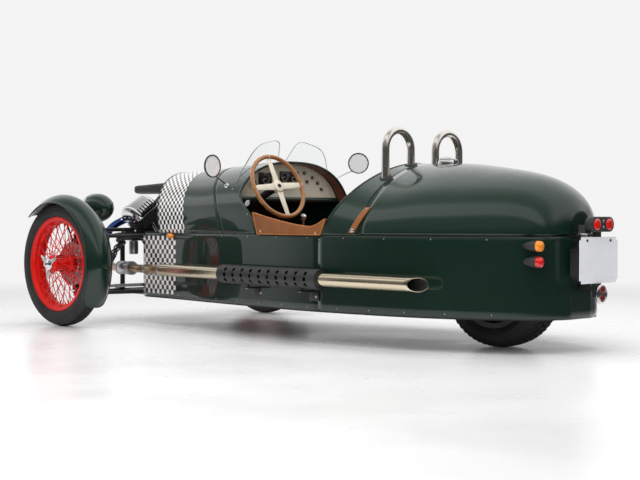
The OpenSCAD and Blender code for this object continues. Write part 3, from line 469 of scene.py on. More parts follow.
def vector_maths(tree, operation, *values, output="Vector"):
    return add_node(tree, "VectorMath", dict(enumerate(values)), operation=operation).outputs[output]


def object_coordinates(tree):
    return add_node(tree, "TexCoord").outputs["Object"]


def noise(tree, vector, scale, detail=4.0):
    inputs = {"Vector": vector, "Scale": scale, "Detail": detail, "Roughness": 0.55}
    return add_node(tree, "TexNoise", inputs).outputs["Fac"]


def span(tree, value, from_low, from_high, low=0.0, high=1.0, kind="LINEAR"):
    """Maps a value from one range to another."""
    inputs = {"Value": value, "From Min": from_low, "From Max": from_high, "To Min": low, "To Max": high}
    return add_node(tree, "MapRange", inputs, interpolation_type=kind).outputs["Result"]


def blend_colours(tree, share, a, b):
    return add_node(tree, "Mix", {"Factor": share, "A": a, "B": b}, data_type="RGBA").outputs["Result"]


def two_tone(tree, share, colour, first, second):
    """Ramp between two shades of a colour."""
    ramp = add_node(tree, "ValToRGB", {"Fac": share})
    for stop, shade in zip(ramp.color_ramp.elements, (first, second)):
        stop.color = (*[min(1.0, c * shade) for c in colour], 1)
    return ramp.outputs["Color"]


def bump(tree, height, strength, distance):
    return add_node(tree, "Bump", {"Height": height, "Strength": strength,
                                   "Distance": distance}).outputs["Normal"]


def new_group(name, inputs, outputs):
    """Shader node group with named sockets; returns it with the sockets it is given and gives out."""
    group = bpy.data.node_groups.new(name, "ShaderNodeTree")
    for socket, kind, value in inputs:
        made = group.interface.new_socket(name=socket, in_out="INPUT", socket_type=kind)
        made.default_value = value
    for socket, kind in outputs:
        group.interface.new_socket(name=socket, in_out="OUTPUT", socket_type=kind)
    GROUPS[name] = group
    return group, group.nodes.new("NodeGroupInput").outputs, group.nodes.new("NodeGroupOutput").inputs


def make_groups():
    """Effects that several finishes share."""
    number, colour, vector = "NodeSocketFloat", "NodeSocketColor", "NodeSocketVector"
    patch_low, patch_high = 0.3, 0.7

    group, given, out = new_group(
        "Uneven Gloss", [("Scale", number, 8), ("Low", number, 0.2), ("High", number, 0.4)],
        [("Roughness", number)],
    )
    patches = noise(group, object_coordinates(group), given["Scale"])
    feed(group, out["Roughness"], span(group, patches, patch_low, patch_high, given["Low"], given["High"]))

    group, given, out = new_group(
        "Mottle",
        [("Main", colour, (1, 1, 1, 1)), ("Other", colour, (0, 0, 0, 1)), ("Scale", number, 10),
         ("Share", number, 0.5)],
        [("Color", colour)],
    )
    patches = noise(group, object_coordinates(group), given["Scale"], detail=6)
    amount = span(group, patches, 0.35, 0.75, 0.0, given["Share"])
    feed(group, out["Color"], blend_colours(group, amount, given["Main"], given["Other"]))

    group, given, out = new_group(
        "Fine Grain", [("Scale", number, 300), ("Strength", number, 0.2), ("Distance", number, 0.001)],
        [("Normal", vector)],
    )
    grain = noise(group, object_coordinates(group), given["Scale"], detail=3)
    feed(group, out["Normal"], bump(group, grain, given["Strength"], given["Distance"]))

    group, given, out = new_group(
        "Leather Grain", [("Scale", number, 420), ("Strength", number, 0.35)], [("Normal", vector)]
    )
    cells = add_node(
        group, "TexVoronoi", {"Vector": object_coordinates(group), "Scale": given["Scale"]},
        feature="DISTANCE_TO_EDGE",
    )
    creases = span(group, cells.outputs["Distance"], 0.0, 0.22)
    feed(group, out["Normal"], bump(group, creases, given["Strength"], 0.0008))

    group, given, out = new_group(
        "Brushed Lines",
        [("Stretch", vector, (300, 8, 300)), ("Strength", number, 0.1), ("Low", number, 0.2),
         ("High", number, 0.35)],
        [("Normal", vector), ("Roughness", number)],
    )
    lines = noise(group, vector_maths(group, "MULTIPLY", object_coordinates(group), given["Stretch"]), 1,
                  detail=3)
    feed(group, out["Normal"], bump(group, lines, given["Strength"], 0.0003))
    feed(group, out["Roughness"], span(group, lines, patch_low, patch_high, given["Low"], given["High"]))


class Finish:
    """One material: its node tree, its shader and the groups placed in it."""

    def __init__(self, name, colour, roughness, metallic=0.0, **sockets):
        self.material = bpy.data.materials.new(name)
        self.material.use_nodes = True
        self.tree = self.material.node_tree
        self.shader = self.tree.nodes["Principled BSDF"]
        sockets.update({"Base Color": (*colour, 1), "Roughness": roughness, "Metallic": metallic})
        for socket, value in sockets.items():
            self.shader.inputs[socket.replace("_", " ")].default_value = value
        FINISHES[name] = self.material

    def link(self, output, socket):
        self.tree.links.new(output, self.shader.inputs[socket])

    def group(self, name, links, **values):
        """Places a group and links its outputs to the shader's sockets."""
        node = add_node(self.tree, "Group", node_tree=GROUPS[name])
        for socket, value in values.items():
            node.inputs[socket].default_value = value
        for output, socket in links.items():
            self.link(node.outputs[output], socket)

    def uneven(self, scale, low, high):
        self.group("Uneven Gloss", {"Roughness": "Roughness"}, Scale=scale, Low=low, High=high)

    def mottle(self, colour, other, scale, share):
        tones = {"Main": (*colour, 1), "Other": (*other, 1)}
        self.group("Mottle", {"Color": "Base Color"}, **tones, Scale=scale, Share=share)

    def grain(self, scale, strength, distance):
        self.group("Fine Grain", {"Normal": "Normal"}, Scale=scale, Strength=strength, Distance=distance)


def gloss_paint(name, colour, roughness=0.30, coat=1.0):
    """Sprayed paint under a clear lacquer."""
    finish = Finish(
        name, colour, roughness, Coat_Weight=coat, Coat_Roughness=0.02, Coat_IOR=1.5, Specular_IOR_Level=0.15
    )
    paler = [min(1.0, c * 1.35 + 0.002) for c in colour]
    finish.mottle(colour, paler, 3.0, 0.5)
    finish.uneven(30, roughness, roughness + 0.12)
    return finish


def chequered_paint(name, colour, square, start, end):
    """Body paint with a chequered band; the map gives metres along and across the band."""
    finish = gloss_paint(name, colour)
    tree = finish.tree
    place = add_node(tree, "UVMap").outputs["UV"]
    tones = {"Color1": (*colours().chequer, 1), "Color2": (*CHEQUER_BLACK, 1)}
    checks = add_node(tree, "TexChecker", {"Vector": place, "Scale": 1 / square, **tones})
    parts = add_node(tree, "SeparateXYZ", {"Vector": place}).outputs
    mask = 1.0
    for axis, low, high in (("X", start[0], end[0]), ("Y", start[1], end[1])):
        for operation, edge in (("GREATER_THAN", low), ("LESS_THAN", high)):
            mask = maths(tree, "MULTIPLY", mask, maths(tree, operation, parts[axis], edge))
    under = finish.shader.inputs["Base Color"].links[0].from_socket
    finish.link(blend_colours(tree, mask, under, checks.outputs["Color"]), "Base Color")


def metal(name, colour, roughness, stretch=None):
    """Bare or plated metal; stretch gives the scale of its brushed lines along each axis."""
    finish = Finish(name, colour, roughness, metallic=1.0)
    high = roughness + 0.08
    if stretch:
        finish.group(
            "Brushed Lines", {"Normal": "Normal", "Roughness": "Roughness"}, Stretch=stretch, Strength=0.08,
            Low=roughness, High=high,
        )
    else:
        finish.uneven(14, roughness, high)


def coated(name, colour, low, high, grain=500, strength=0.15, other=None, scale=12, share=0.6, metallic=0.0):
    """Matt or satin surface: powder coat, rubber, cast skin or moulded plastic."""
    finish = Finish(name, colour, low, metallic)
    finish.mottle(colour, other or [min(1.0, c * 1.6 + 0.01) for c in colour], scale, share)
    finish.uneven(scale * 2, low, high)
    finish.grain(grain, strength, 0.0008)


def hide(name, colour):
    """Leather with fine creases and rubbed tones."""
    finish = Finish(name, colour, 0.45, Sheen_Weight=0.04, Specular_IOR_Level=0.3)
    finish.mottle(colour, [c * 0.55 for c in colour], 14, 0.55)
    finish.group("Leather Grain", {"Normal": "Normal"}, Scale=330, Strength=0.4)
    finish.uneven(22, 0.38, 0.58)


def timber(name, colour):
    """Varnished wood with grain that runs round the rim."""
    finish = Finish(name, colour, 0.3, Coat_Weight=0.7, Coat_Roughness=0.08)
    tree = finish.tree
    hub = {"Vector": object_coordinates(tree), "Location": [-c for c in STEERING_HUB]}
    centre = add_node(tree, "Mapping", hub).outputs["Vector"]
    rings = add_node(
        tree, "TexWave", {"Vector": centre, "Scale": 55, "Distortion": 6, "Detail": 4}, wave_type="RINGS",
        rings_direction="SPHERICAL",
    )
    finish.link(two_tone(tree, rings.outputs["Fac"], colour, 0.5, 1.25), "Base Color")
    finish.uneven(40, 0.22, 0.4)


def lens(name, colour):
    """Moulded lamp lens with fine flutes."""
    finish = Finish(name, colour, 0.12, Coat_Weight=1.0, Coat_Roughness=0.03)
    finish.mottle(colour, [c * 0.35 for c in colour], 70, 0.6)
    finish.grain(160, 0.25, 0.0015)


def turned_face(name, colour):
    """Engine-turned dashboard face: rows of small swirls."""
    finish = Finish(name, colour, 0.35, metallic=0.35, Coat_Weight=0.3)
    tree = finish.tree
    swirls = add_node(tree, "TexVoronoi", {"Vector": object_coordinates(tree), "Scale": 60,
                                           "Randomness": 0.15})
    finish.link(two_tone(tree, swirls.outputs["Distance"], colour, 1.1, 0.78), "Base Color")
    finish.uneven(60, 0.28, 0.45)


def make_finishes():
    tint, size = colours(), sizes()
    make_groups()
    body = tuple(tint.body)
    gloss_paint("Body Paint", body)
    chequered_paint("Chequered Bonnet", body, size.bonnet_square, (-9, -0.001), (9, size.band))
    chequered_paint("Chequered Side", body, size.side_square, (-0.01, size.side_square),
                    (size.side_band, CHEQUER_ROWS * size.side_square))
    gloss_paint("Wheel Paint", tuple(tint.wheels), 0.35, coat=0.4)
    metal("Chrome", (0.84, 0.84, 0.85), 0.08)
    metal("Dark Bezel", (0.13, 0.095, 0.075), 0.2)
    Finish("Mirror Glass", (0.90, 0.90, 0.90), 0.05, metallic=0.20).uneven(14, 0.04, 0.08)
    metal("Stainless", (0.86, 0.82, 0.76), 0.20, (160, 160, 10))
    metal("Brushed Steel", (0.55, 0.55, 0.56), 0.28, (220, 220, 220))
    metal("Warm Steel", (0.70, 0.61, 0.45), 0.16, (260, 6, 260))
    metal("Straw Steel", (0.46, 0.34, 0.22), 0.25, (260, 6, 260))
    metal("Blued Steel", (0.035, 0.070, 0.25), 0.22, (260, 6, 260))
    coated("Cast Alloy", (0.42, 0.42, 0.43), 0.38, 0.55, grain=700, strength=0.3, metallic=0.9)
    coated("Engine Black", (0.022, 0.022, 0.024), 0.35, 0.5, grain=600, strength=0.15)
    coated("Black Steel", (0.012, 0.012, 0.013), 0.32, 0.5, grain=900, strength=0.1)
    coated("Black Plastic", (0.020, 0.020, 0.022), 0.42, 0.58, grain=1200, strength=0.25)
    coated("Shield Black", (0.014, 0.014, 0.015), 0.42, 0.58, grain=1500, strength=0.3)
    coated("Floor Paint", (0.016, 0.016, 0.018), 0.5, 0.7, grain=400, strength=0.2)
    coated("Tyre Rubber", (0.014, 0.014, 0.015), 0.62, 0.8, grain=700, strength=0.25,
           other=(0.05, 0.048, 0.045), scale=9, share=0.5)
    # Near-black: real rubber in the seams, and painted shade in the cover slots and brake disc holes, which
    # are not cut
    coated("Seam Rubber", (0.004, 0.004, 0.004), 0.6, 0.75, grain=900)
    # Near-black inner wall of the side pipes, darker than their steel outside
    coated("Pipe Bore Black", (0.010, 0.008, 0.007), 0.7, 0.85, grain=600)
    coated("Cream Enamel", (0.66, 0.61, 0.50), 0.35, 0.5, grain=900, strength=0.05, other=(0.56, 0.51, 0.41))
    # Grey of the thin rods on the screens' edges: painted shade of the dark line that a glass edge shows
    coated("Screen Edge", (0.16, 0.18, 0.18), 0.2, 0.3, grain=900, strength=0.05)
    coated("Plate White", (0.86, 0.87, 0.91), 0.25, 0.36, grain=500, strength=0.04, other=(0.80, 0.81, 0.85))
    coated("Dial Black", (0.008, 0.008, 0.010), 0.2, 0.3, grain=900, strength=0.05)
    coated("Dial White", (0.75, 0.73, 0.66), 0.3, 0.4, grain=900, strength=0.05)
    hide("Tan Leather", tuple(tint.leather))
    hide("Pale Piping", tuple(min(1, c * 1.5) for c in tint.leather))
    hide("Dark Lining", tuple(tint.lining))
    timber("Rim Wood", tuple(tint.wood))
    turned_face("Dash Face", tuple(tint.dash))
    lens("Amber Lens", (0.95, 0.30, 0.010))
    lens("Red Lens", (0.72, 0.012, 0.010))
    lens("Deep Red Lens", (0.20, 0.016, 0.012))
    Finish("Clear Glass", (0.96, 0.98, 0.98), 0.0, Transmission_Weight=1.0, IOR=1.12).grain(4, 0.01, 0.0005)
    Finish("Lamp Glass", (0.95, 0.96, 0.97), 0.02, Transmission_Weight=1.0, IOR=1.3).grain(90, 0.2, 0.001)


# Body


def side_place(t, start, end):
    """Place along the side for a share of its length, with closer steps towards the tail."""
    return start + (end - start) * (1 - (1 - t) ** 1.7)


SIDE_EDGE = ((0.0, 0.007), (0.006, 0.0015), (0.016, 0.0))


def side_inset(v):
    """How far the side wall is drawn in near its lower and upper edges, for a share of its height."""
    height = (WAIST - FLOOR) * min(v, 1 - v)
    for (low, deep), (high, shallow) in zip(SIDE_EDGE, SIDE_EDGE[1:]):
        if height < high:
            return mix(deep, shallow, (height - low) / (high - low))
    return 0.0


def even_rows(v):
    """Spreads grid rows so that they gather at both edges."""
    return 0.5 - 0.5 * math.cos(math.pi * v)


class CAR_OT_side_panels(bpy.types.Operator):
    """Lower sides of the body, with their seams, edge beads and screws"""

    bl_idname = "car.side_panels"
    bl_label = "Side Panels"

    def panels(self):
        bm = bmesh.new()
        rows = 14
        gap = 0.0012
        end = PANEL_SEAM - gap

        def metres(u, v):
            return (mix(BODY_FRONT, end, u) - BODY_FRONT, even_rows(v) * (WAIST - FLOOR))

        for side in SIDES.values():

            def front(u, v, side=side):
                y = mix(BODY_FRONT, end, u)
                w = even_rows(v)
                return Vector((side * (half_width(y) - side_inset(w)), y, mix(FLOOR, WAIST, w)))

            add_sheet(bm, 48, rows, front, (0, -0.4, 0.3), mat=1, uv=metres)

        tail_half = half_width(TAIL)
        start = PANEL_SEAM + gap
        share = 0.46

        def rear(u, v):
            w = even_rows(v)
            z, inset = mix(FLOOR, WAIST, w), side_inset(w)
            if u < share:
                y = side_place(u / share, start, TAIL)
                return Vector((half_width(y) - inset, min(y, TAIL - inset), z))
            if u > 1 - share:
                y = side_place((1 - u) / share, start, TAIL)
                return Vector((inset - half_width(y), min(y, TAIL - inset), z))
            return Vector((mix(tail_half, -tail_half, (u - share) / (1 - 2 * share)), TAIL - inset, z))

        add_sheet(bm, 150, rows, rear, (0, 0.9, 0.3))
        piece("side_panels", bm, ["Body Paint", "Chequered Side"], "chassis", "body_sides",
              wall=WALL - 0.002)

    def seams(self):
        bm = bmesh.new()
        for side in SIDES.values():
            for z in (FLOOR + 0.003, WAIST + 0.001):
                route = [(side * (half_width(y) - 0.006), y, z) for y in
                         (mix(BODY_FRONT + 0.02, TAIL - 0.03, i / 60) for i in range(61))]
                add_tube(bm, route, 0.004, round_route=False)
            x = side * (half_width(PANEL_SEAM) - 0.006)
            add_rod(bm, (x, PANEL_SEAM, FLOOR + 0.004), (x, PANEL_SEAM, WAIST - 0.002), 0.004, sides=8)
        piece("side_seams", bm, "Seam Rubber", "chassis")

    def screws(self):
        bm = bmesh.new()
        for side in SIDES.values():
            low = [-1.02 + 0.195 * i for i in range(13)]
            high = [-0.62 + 0.24 * i for i in range(9)]
            for y, z in [(y, FLOOR + 0.022) for y in low] + [(y, WAIST - 0.014) for y in high]:
                normal = Vector((side, -shape_slope(y), 0)).normalized()
                add_screw(bm, (side * half_width(y), y, z), normal, 0.0032)
        piece("side_screws", bm, "Brushed Steel", "chassis")

    def execute(self, context):
        self.panels()
        self.seams()
        self.screws()
        return {"FINISHED"}


def shape_slope(y):
    step = 0.004
    return (half_width(y + step) - half_width(y - step)) / (2 * step)


HALF_GIRTH = 0.53


def upper_sheet(bm, front, rear, rows):
    """Upper panel between two edges; its map gives metres round and behind its front edge."""

    def point(u, v):
        angle = math.pi * u
        return body_point(mix(front(angle), rear(angle), v), angle)

    def metres(u, v):
        angle = math.pi * u
        return (HALF_GIRTH * (2 * u - 1), mix(front(angle), rear(angle), v) - front(angle))

    middle = mix(front(CREST_ANGLE), rear(CREST_ANGLE), 0.5)
    add_sheet(bm, 96, rows, point, (0, middle, 0.45), uv=metres)


def add_edge(bm, edge, out, radius, low=0.0):
    """Bead along an edge of the upper panels."""
    angles = [mix(low, math.pi - low, i / 64) for i in range(65)]
    add_tube(bm, [body_point(edge(a), a, out) for a in angles], radius, round_route=False)


def body_screw(bm, side, y, angle, out=0.0, radius=None):
    """Screw on the upper body."""
    add_screw(bm, mirrored(side) @ body_point(y, angle, out), mirrored(side) @ body_normal(y, angle), radius)


class CAR_OT_upper_panels(bpy.types.Operator):
    """Bonnet, scuttle and rear cowl, with their seams, rolled edges and screws"""

    bl_idname = "car.upper_panels"
    bl_label = "Upper Panels"

    # Places along the car and heights
    screw_places = ((-0.349, 0.741), (-0.152, 0.612), (0.470, 0.582))
    badge_place = (-0.167, 0.667)

    def panels(self):
        panels = (
            ("bonnet_panel", "Chequered Bonnet", "bonnet", bonnet_front, bonnet_rear, 24),
            ("scuttle_panel", "Body Paint", "scuttle", scuttle_front, scuttle_rear, 20),
            ("cowl_panel", "Body Paint", "rear_cowl", cowl_front, cowl_rear, 16),
        )
        for name, finish, node, front, rear, rows in panels:
            bm = bmesh.new()
            upper_sheet(bm, front, rear, rows)
            piece(name, bm, finish, "chassis", node, wall=SKIN)

    def rolled_edges(self):
        bm = bmesh.new()
        for edge, radius in ((scuttle_rear, 0.0065), (cowl_front, 0.0065), (bonnet_front, 0.0045)):
            add_edge(bm, edge, -0.003, radius)
        piece("rolled_edges", bm, "Body Paint", "chassis")

    def seams(self):
        bm = bmesh.new()
        add_edge(bm, lambda a: scuttle_front(a) - SEAM_GAP / 2, -0.0028, 0.0034)
        add_edge(bm, lambda a: LID_FRONT - LID_GAP / 2, -0.0055, 0.004, low=0.06)
        piece("panel_seams", bm, "Seam Rubber", "chassis")

    def screws(self):
        bm = bmesh.new()
        for side in SIDES.values():
            for y, z in self.screw_places:
                body_screw(bm, side, y, angle_at(y, z))
        piece("panel_screws", bm, "Chrome", "chassis")

    def badge(self):
        bm = bmesh.new()
        y, angle = self.badge_place[0], angle_at(*self.badge_place)
        matrix = axis_matrix(body_point(y, angle, 0.001), body_normal(y, angle))
        shield = [(0.0, 0.0022), (0.010, 0.0020), (0.017, 0.0012), (0.019, -0.001)]
        add_lathe(bm, shield, matrix @ Matrix.Diagonal((1.15, 0.95, 1, 1)), steps=6)
        piece("bare_badge", bm, "Brushed Steel", "chassis")

    def execute(self, context):
        self.panels()
        self.rolled_edges()
        self.seams()
        self.screws()
        self.badge()
        return {"FINISHED"}


class CAR_OT_tail(bpy.types.Operator):
    """Tail lid with its filler cap, straps and hinge"""

    bl_idname = "car.tail"
    bl_label = "Tail Lid"

    def lid(self):
        bm = bmesh.new()
        cap = 0.90

        def point(u, v):
            y = side_place(min(v / cap, 1.0), LID_FRONT, TAIL)
            low = angle_at(y, LID_FOOT)
            at = body_point(y, mix(low, math.pi - low, u))
            shrink = 1 - 0.98 * max(0.0, (v - cap) / (1 - cap))
            return Vector((shrink * at.x, y, LID_FOOT + shrink * (at.z - LID_FOOT)))

        add_sheet(bm, 96, 40, point, (0, 1.0, 0.55))
        piece("lid_panel", bm, "Body Paint", "lid", "tail_lid", wall=SKIN)

    def filler_cap(self):
        bm = bmesh.new()
        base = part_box("filler_cap")
        at = Vector((0, (base[0].y + base[1].y) / 2, base[0].z))
        r = (base[1].x - base[0].x) / 2
        profile = [(0, 0.030), (0.4 * r, 0.029), (0.62 * r, 0.026), (0.72 * r, 0.020), (0.74 * r, 0.016),
                   (0.86 * r, 0.014), (0.95 * r, 0.010), (r, 0.004), (r, -0.004)]
        add_lathe(bm, profile, Matrix.Translation(at), steps=48)
        add_lathe(bm, [(0.745 * r, 0.0185), (0.76 * r, 0.015), (0.745 * r, 0.0135)], Matrix.Translation(at),
                  mat=1)
        add_box(bm, at + Vector((-0.006, -1.05 * r, 0.006)), at + Vector((0.006, -0.2 * r, 0.026)),
                bevel=0.003)
        add_box(bm, at + Vector((-0.012, 0.85 * r, -0.002)), at + Vector((0.012, 1.1 * r, 0.016)),
                bevel=0.003)
        piece("filler_cap_dome", bm, ["Chrome", "Black Plastic"], "lid", "filler_cap")

    def straps(self):
        bm = bmesh.new()
        foot, head, width = (0.610, 0.522), (0.667, 0.640), 0.036
        low, high = angle_at(*foot), angle_at(*head)
        for side in SIDES.values():

            def strap(u, v, side=side):
                angle = mix(low, high, v)
                y = mix(foot[0], head[0], v) + width * u
                crown = 0.0028 + 0.0012 * (1 - (2 * u - 1) ** 4)
                return mirrored(side) @ body_point(y, angle, crown)

            add_sheet(bm, 8, 28, strap, (0, 0.64, 0.5))
        piece("strap_leather", bm, "Tan Leather", "lid", "lid_straps", wall=0.0025)

        bm = bmesh.new()
        for side in SIDES.values():
            for v, radius in ((0.12, 0.0095), (0.93, 0.0045)):
                body_screw(bm, side, mix(foot[0], head[0], v) + width / 2, mix(low, high, v), 0.004, radius)
        piece("strap_studs", bm, "Chrome", "lid")

    def execute(self, context):
        self.lid()
        self.filler_cap()
        self.straps()
        dress("lid_hinge", "Brushed Steel")
        return {"FINISHED"}


# Wheels and wings


FRONT_RIM, REAR_RIM = 0.258, 0.212
REAR_BLOCKS = 60
BLOCK_SLANTS = (-18, 14, 0, -14, 18)


def tyre(bm, matrix, radius, half, rim, blocks, tread):
    """Tyre with ribbed walls and rows of tread blocks."""
    tall = radius - rim
    base = radius - 0.006
    wall = [(rim - 0.017, 0.72), (rim - 0.004, 0.76), (rim + 0.06 * tall, 0.86), (rim + 0.22 * tall, 0.955),
            (rim + 0.30 * tall, 0.985), (rim + 0.315 * tall, 1.0), (rim + 0.345 * tall, 1.0),
            (rim + 0.36 * tall, 0.985), (rim + 0.55 * tall, 0.975), (rim + 0.70 * tall, 0.93),
            (rim + 0.82 * tall, 0.85), (base - 0.006, 0.76), (base - 0.0015, 0.66), (base, 0.3)]
    half_profile = [(r, z * half) for r, z in wall]
    profile = half_profile + [(r, -z) for r, z in reversed(half_profile)]
    add_lathe(bm, profile, matrix, steps=96)
    pitch = math.tau / blocks
    width = 2 * tread / 5
    for row in range(5):
        z = (row - 2) * width
        drop = 0.0045 * (z / tread) ** 2 * 2
        for i in range(blocks):
            turn = Matrix.Rotation((i + (0.5 if row % 2 else 0)) * pitch, 4, "Z")
            long = pitch * radius * (0.80 if row in (0, 4) else 0.72)
            block = Matrix.Translation((base + 0.002 - drop, 0, z))
            slant = Matrix.Rotation(math.radians(BLOCK_SLANTS[row]), 4, "X")
            scale = Matrix.Diagonal((0.0078, long, width * 0.80, 1))
            bmesh.ops.create_cube(bm, size=1, matrix=matrix @ turn @ block @ slant @ scale)


class CAR_OT_tyres(bpy.types.Operator):
    """Tyres with their tread"""

    bl_idname = "car.tyres"
    bl_label = "Tyres"

    def execute(self, context):
        wheels = [(name, f"front_{name}", FRONT_AXLE, side, FRONT_RIM, sizes().tread_blocks, 0.033)
                  for name, side in SIDES.items()]
        wheels.append(("back", "rear", REAR_AXLE, 1, REAR_RIM, REAR_BLOCKS, 0.066))
        for name, place, axle, side, rim, blocks, tread in wheels:
            bm = bmesh.new()
            low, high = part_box(f"tyre_{place}")
            tyre(bm, wheel_matrix(axle, side), (high.z - low.z) / 2, (high.x - low.x) / 2, rim, blocks, tread)
            bmesh.ops.recalc_face_normals(bm, faces=bm.faces)
            piece(f"tyre_{name}", bm, "Tyre Rubber", f"wheel_{place}", f"tyre_{place}",
                  sharp=32)
        return {"FINISHED"}


class CAR_OT_wire_wheels(bpy.types.Operator):
    """Wire wheels with rims, spokes, hubs, brake discs and winged spinners"""

    bl_idname = "car.wire_wheels"
    bl_label = "Wire Wheels"

    rim_r = FRONT_RIM
    half = 0.045
    hub_r = 0.046
    inner, outer = -0.036, 0.070

    def rim(self, bm, matrix):
        r, h = self.rim_r, self.half
        profile = [
            (r - 0.003, -h - 0.001), (r, -h + 0.002), (r - 0.003, -h + 0.005), (r - 0.014, -h + 0.006),
            (r - 0.018, -h + 0.012), (r - 0.019, -0.016), (r - 0.030, -0.010), (r - 0.030, 0.010),
            (r - 0.019, 0.016), (r - 0.018, h - 0.012), (r - 0.014, h - 0.006), (r - 0.003, h - 0.005),
            (r, h - 0.002), (r - 0.003, h + 0.001), (r - 0.009, h), (r - 0.018, h - 0.003),
            (r - 0.024, h - 0.012), (r - 0.025, 0.018), (r - 0.036, 0.011), (r - 0.036, -0.011),
            (r - 0.025, -0.018), (r - 0.024, -h + 0.012), (r - 0.018, -h + 0.003), (r - 0.009, -h),
        ]
        add_lathe(bm, profile, matrix, steps=96, closed=True)

    def spokes(self, bm, matrix):
        count = sizes().spokes
        swing = math.radians(32)
        for s in (-1, 1):
            for lean in (-1, 1):
                for i in range(count):
                    turn = math.tau * (i + (0 if lean > 0 else 0.5) + (0 if s > 0 else 0.25)) / count
                    foot_a = turn + lean * swing
                    foot_r, head_r = self.hub_r - 0.004, self.rim_r - 0.030
                    flange = self.outer if s > 0 else self.inner
                    foot = polar(foot_r, foot_a, flange + s * lean * 0.002)
                    head = polar(head_r, turn, s * (0.014 + lean * 0.005))
                    add_rod(bm, matrix @ foot, matrix @ head, 0.0021, sides=6)
                    nipple = head + (foot - head).normalized() * 0.020
                    add_rod(bm, matrix @ head, matrix @ nipple, 0.0042, 0.0034, sides=8)

    def hub(self, bm, matrix):
        a, b = self.inner, self.outer
        profile = [
            (0.0225, -0.054), (0.036, -0.054), (0.040, a - 0.012), (0.0455, a - 0.005), (0.046, a + 0.004),
            (0.040, a + 0.008), (0.033, a + 0.016), (0.032, (a + b) / 2), (0.033, b - 0.016),
            (0.040, b - 0.008), (0.046, b - 0.004), (0.0455, b + 0.005), (0.040, b + 0.009),
            (0.036, 0.086), (0.034, 0.090), (0.0225, 0.090),
        ]
        add_lathe(bm, profile, matrix, closed=True)

    def disc(self, bm, matrix):
        profile = [(0.040, -0.062), (0.120, -0.062), (0.1208, -0.058), (0.120, -0.054), (0.070, -0.054),
                   (0.066, -0.050), (0.040, -0.050)]
        add_lathe(bm, profile, matrix, steps=64, closed=True)
        # Drilled holes drawn as near-black plugs through the disc: painted shade of holes that are not cut
        for ring, count in ((0.086, 16), (0.104, 16)):
            for i in range(count):
                a = math.tau * (i + (0.5 if ring > 0.1 else 0)) / count
                add_rod(bm, matrix @ polar(ring, a, -0.0624), matrix @ polar(ring, a, -0.0536), 0.0045,
                        sides=10, mat=1)

    def spinner(self, bm, matrix):
        dome = [(0, 0.1200), (0.0105, 0.1198), (0.0135, 0.1180), (0.019, 0.1105), (0.025, 0.1050),
                (0.032, 0.1022), (0.034, 0.0995), (0.034, 0.0905), (0.0228, 0.0905)]
        add_lathe(bm, dome, matrix, steps=40)
        for i in range(3):
            turn = Matrix.Rotation(math.radians(115 + 120 * i), 4, "Z")
            part = bmesh.new()
            bmesh.ops.create_cube(part, size=1)
            bmesh.ops.scale(part, vec=(0.058, 0.032, 0.009), verts=part.verts)
            for vert in part.verts:
                if vert.co.x > 0:
                    vert.co.y *= 0.34
                    vert.co.z *= 0.7
            bmesh.ops.translate(part, vec=(0.0545, 0, 0.0968), verts=part.verts)
            bevel_edges(part, part.edges[:], 0.0025, 3)
            join(bm, part, 0, matrix @ turn)
        face_out(bm)

    def execute(self, context):
        for name, side in SIDES.items():
            body = f"wheel_front_{name}"
            matrix = wheel_matrix(FRONT_AXLE, side)
            bm = bmesh.new()
            for part in (self.rim, self.hub, self.spokes):
                part(bm, matrix)
            piece(f"wire_wheel_{name}", bm, "Wheel Paint", body, body)
            bm = bmesh.new()
            self.disc(bm, matrix)
            piece(f"brake_disc_{name}", bm, ["Brushed Steel", "Seam Rubber"], body)
            bm = bmesh.new()
            self.spinner(bm, matrix)
            piece(f"winged_spinner_{name}", bm, "Chrome", body, f"spinner_{name}")
        return {"FINISHED"}


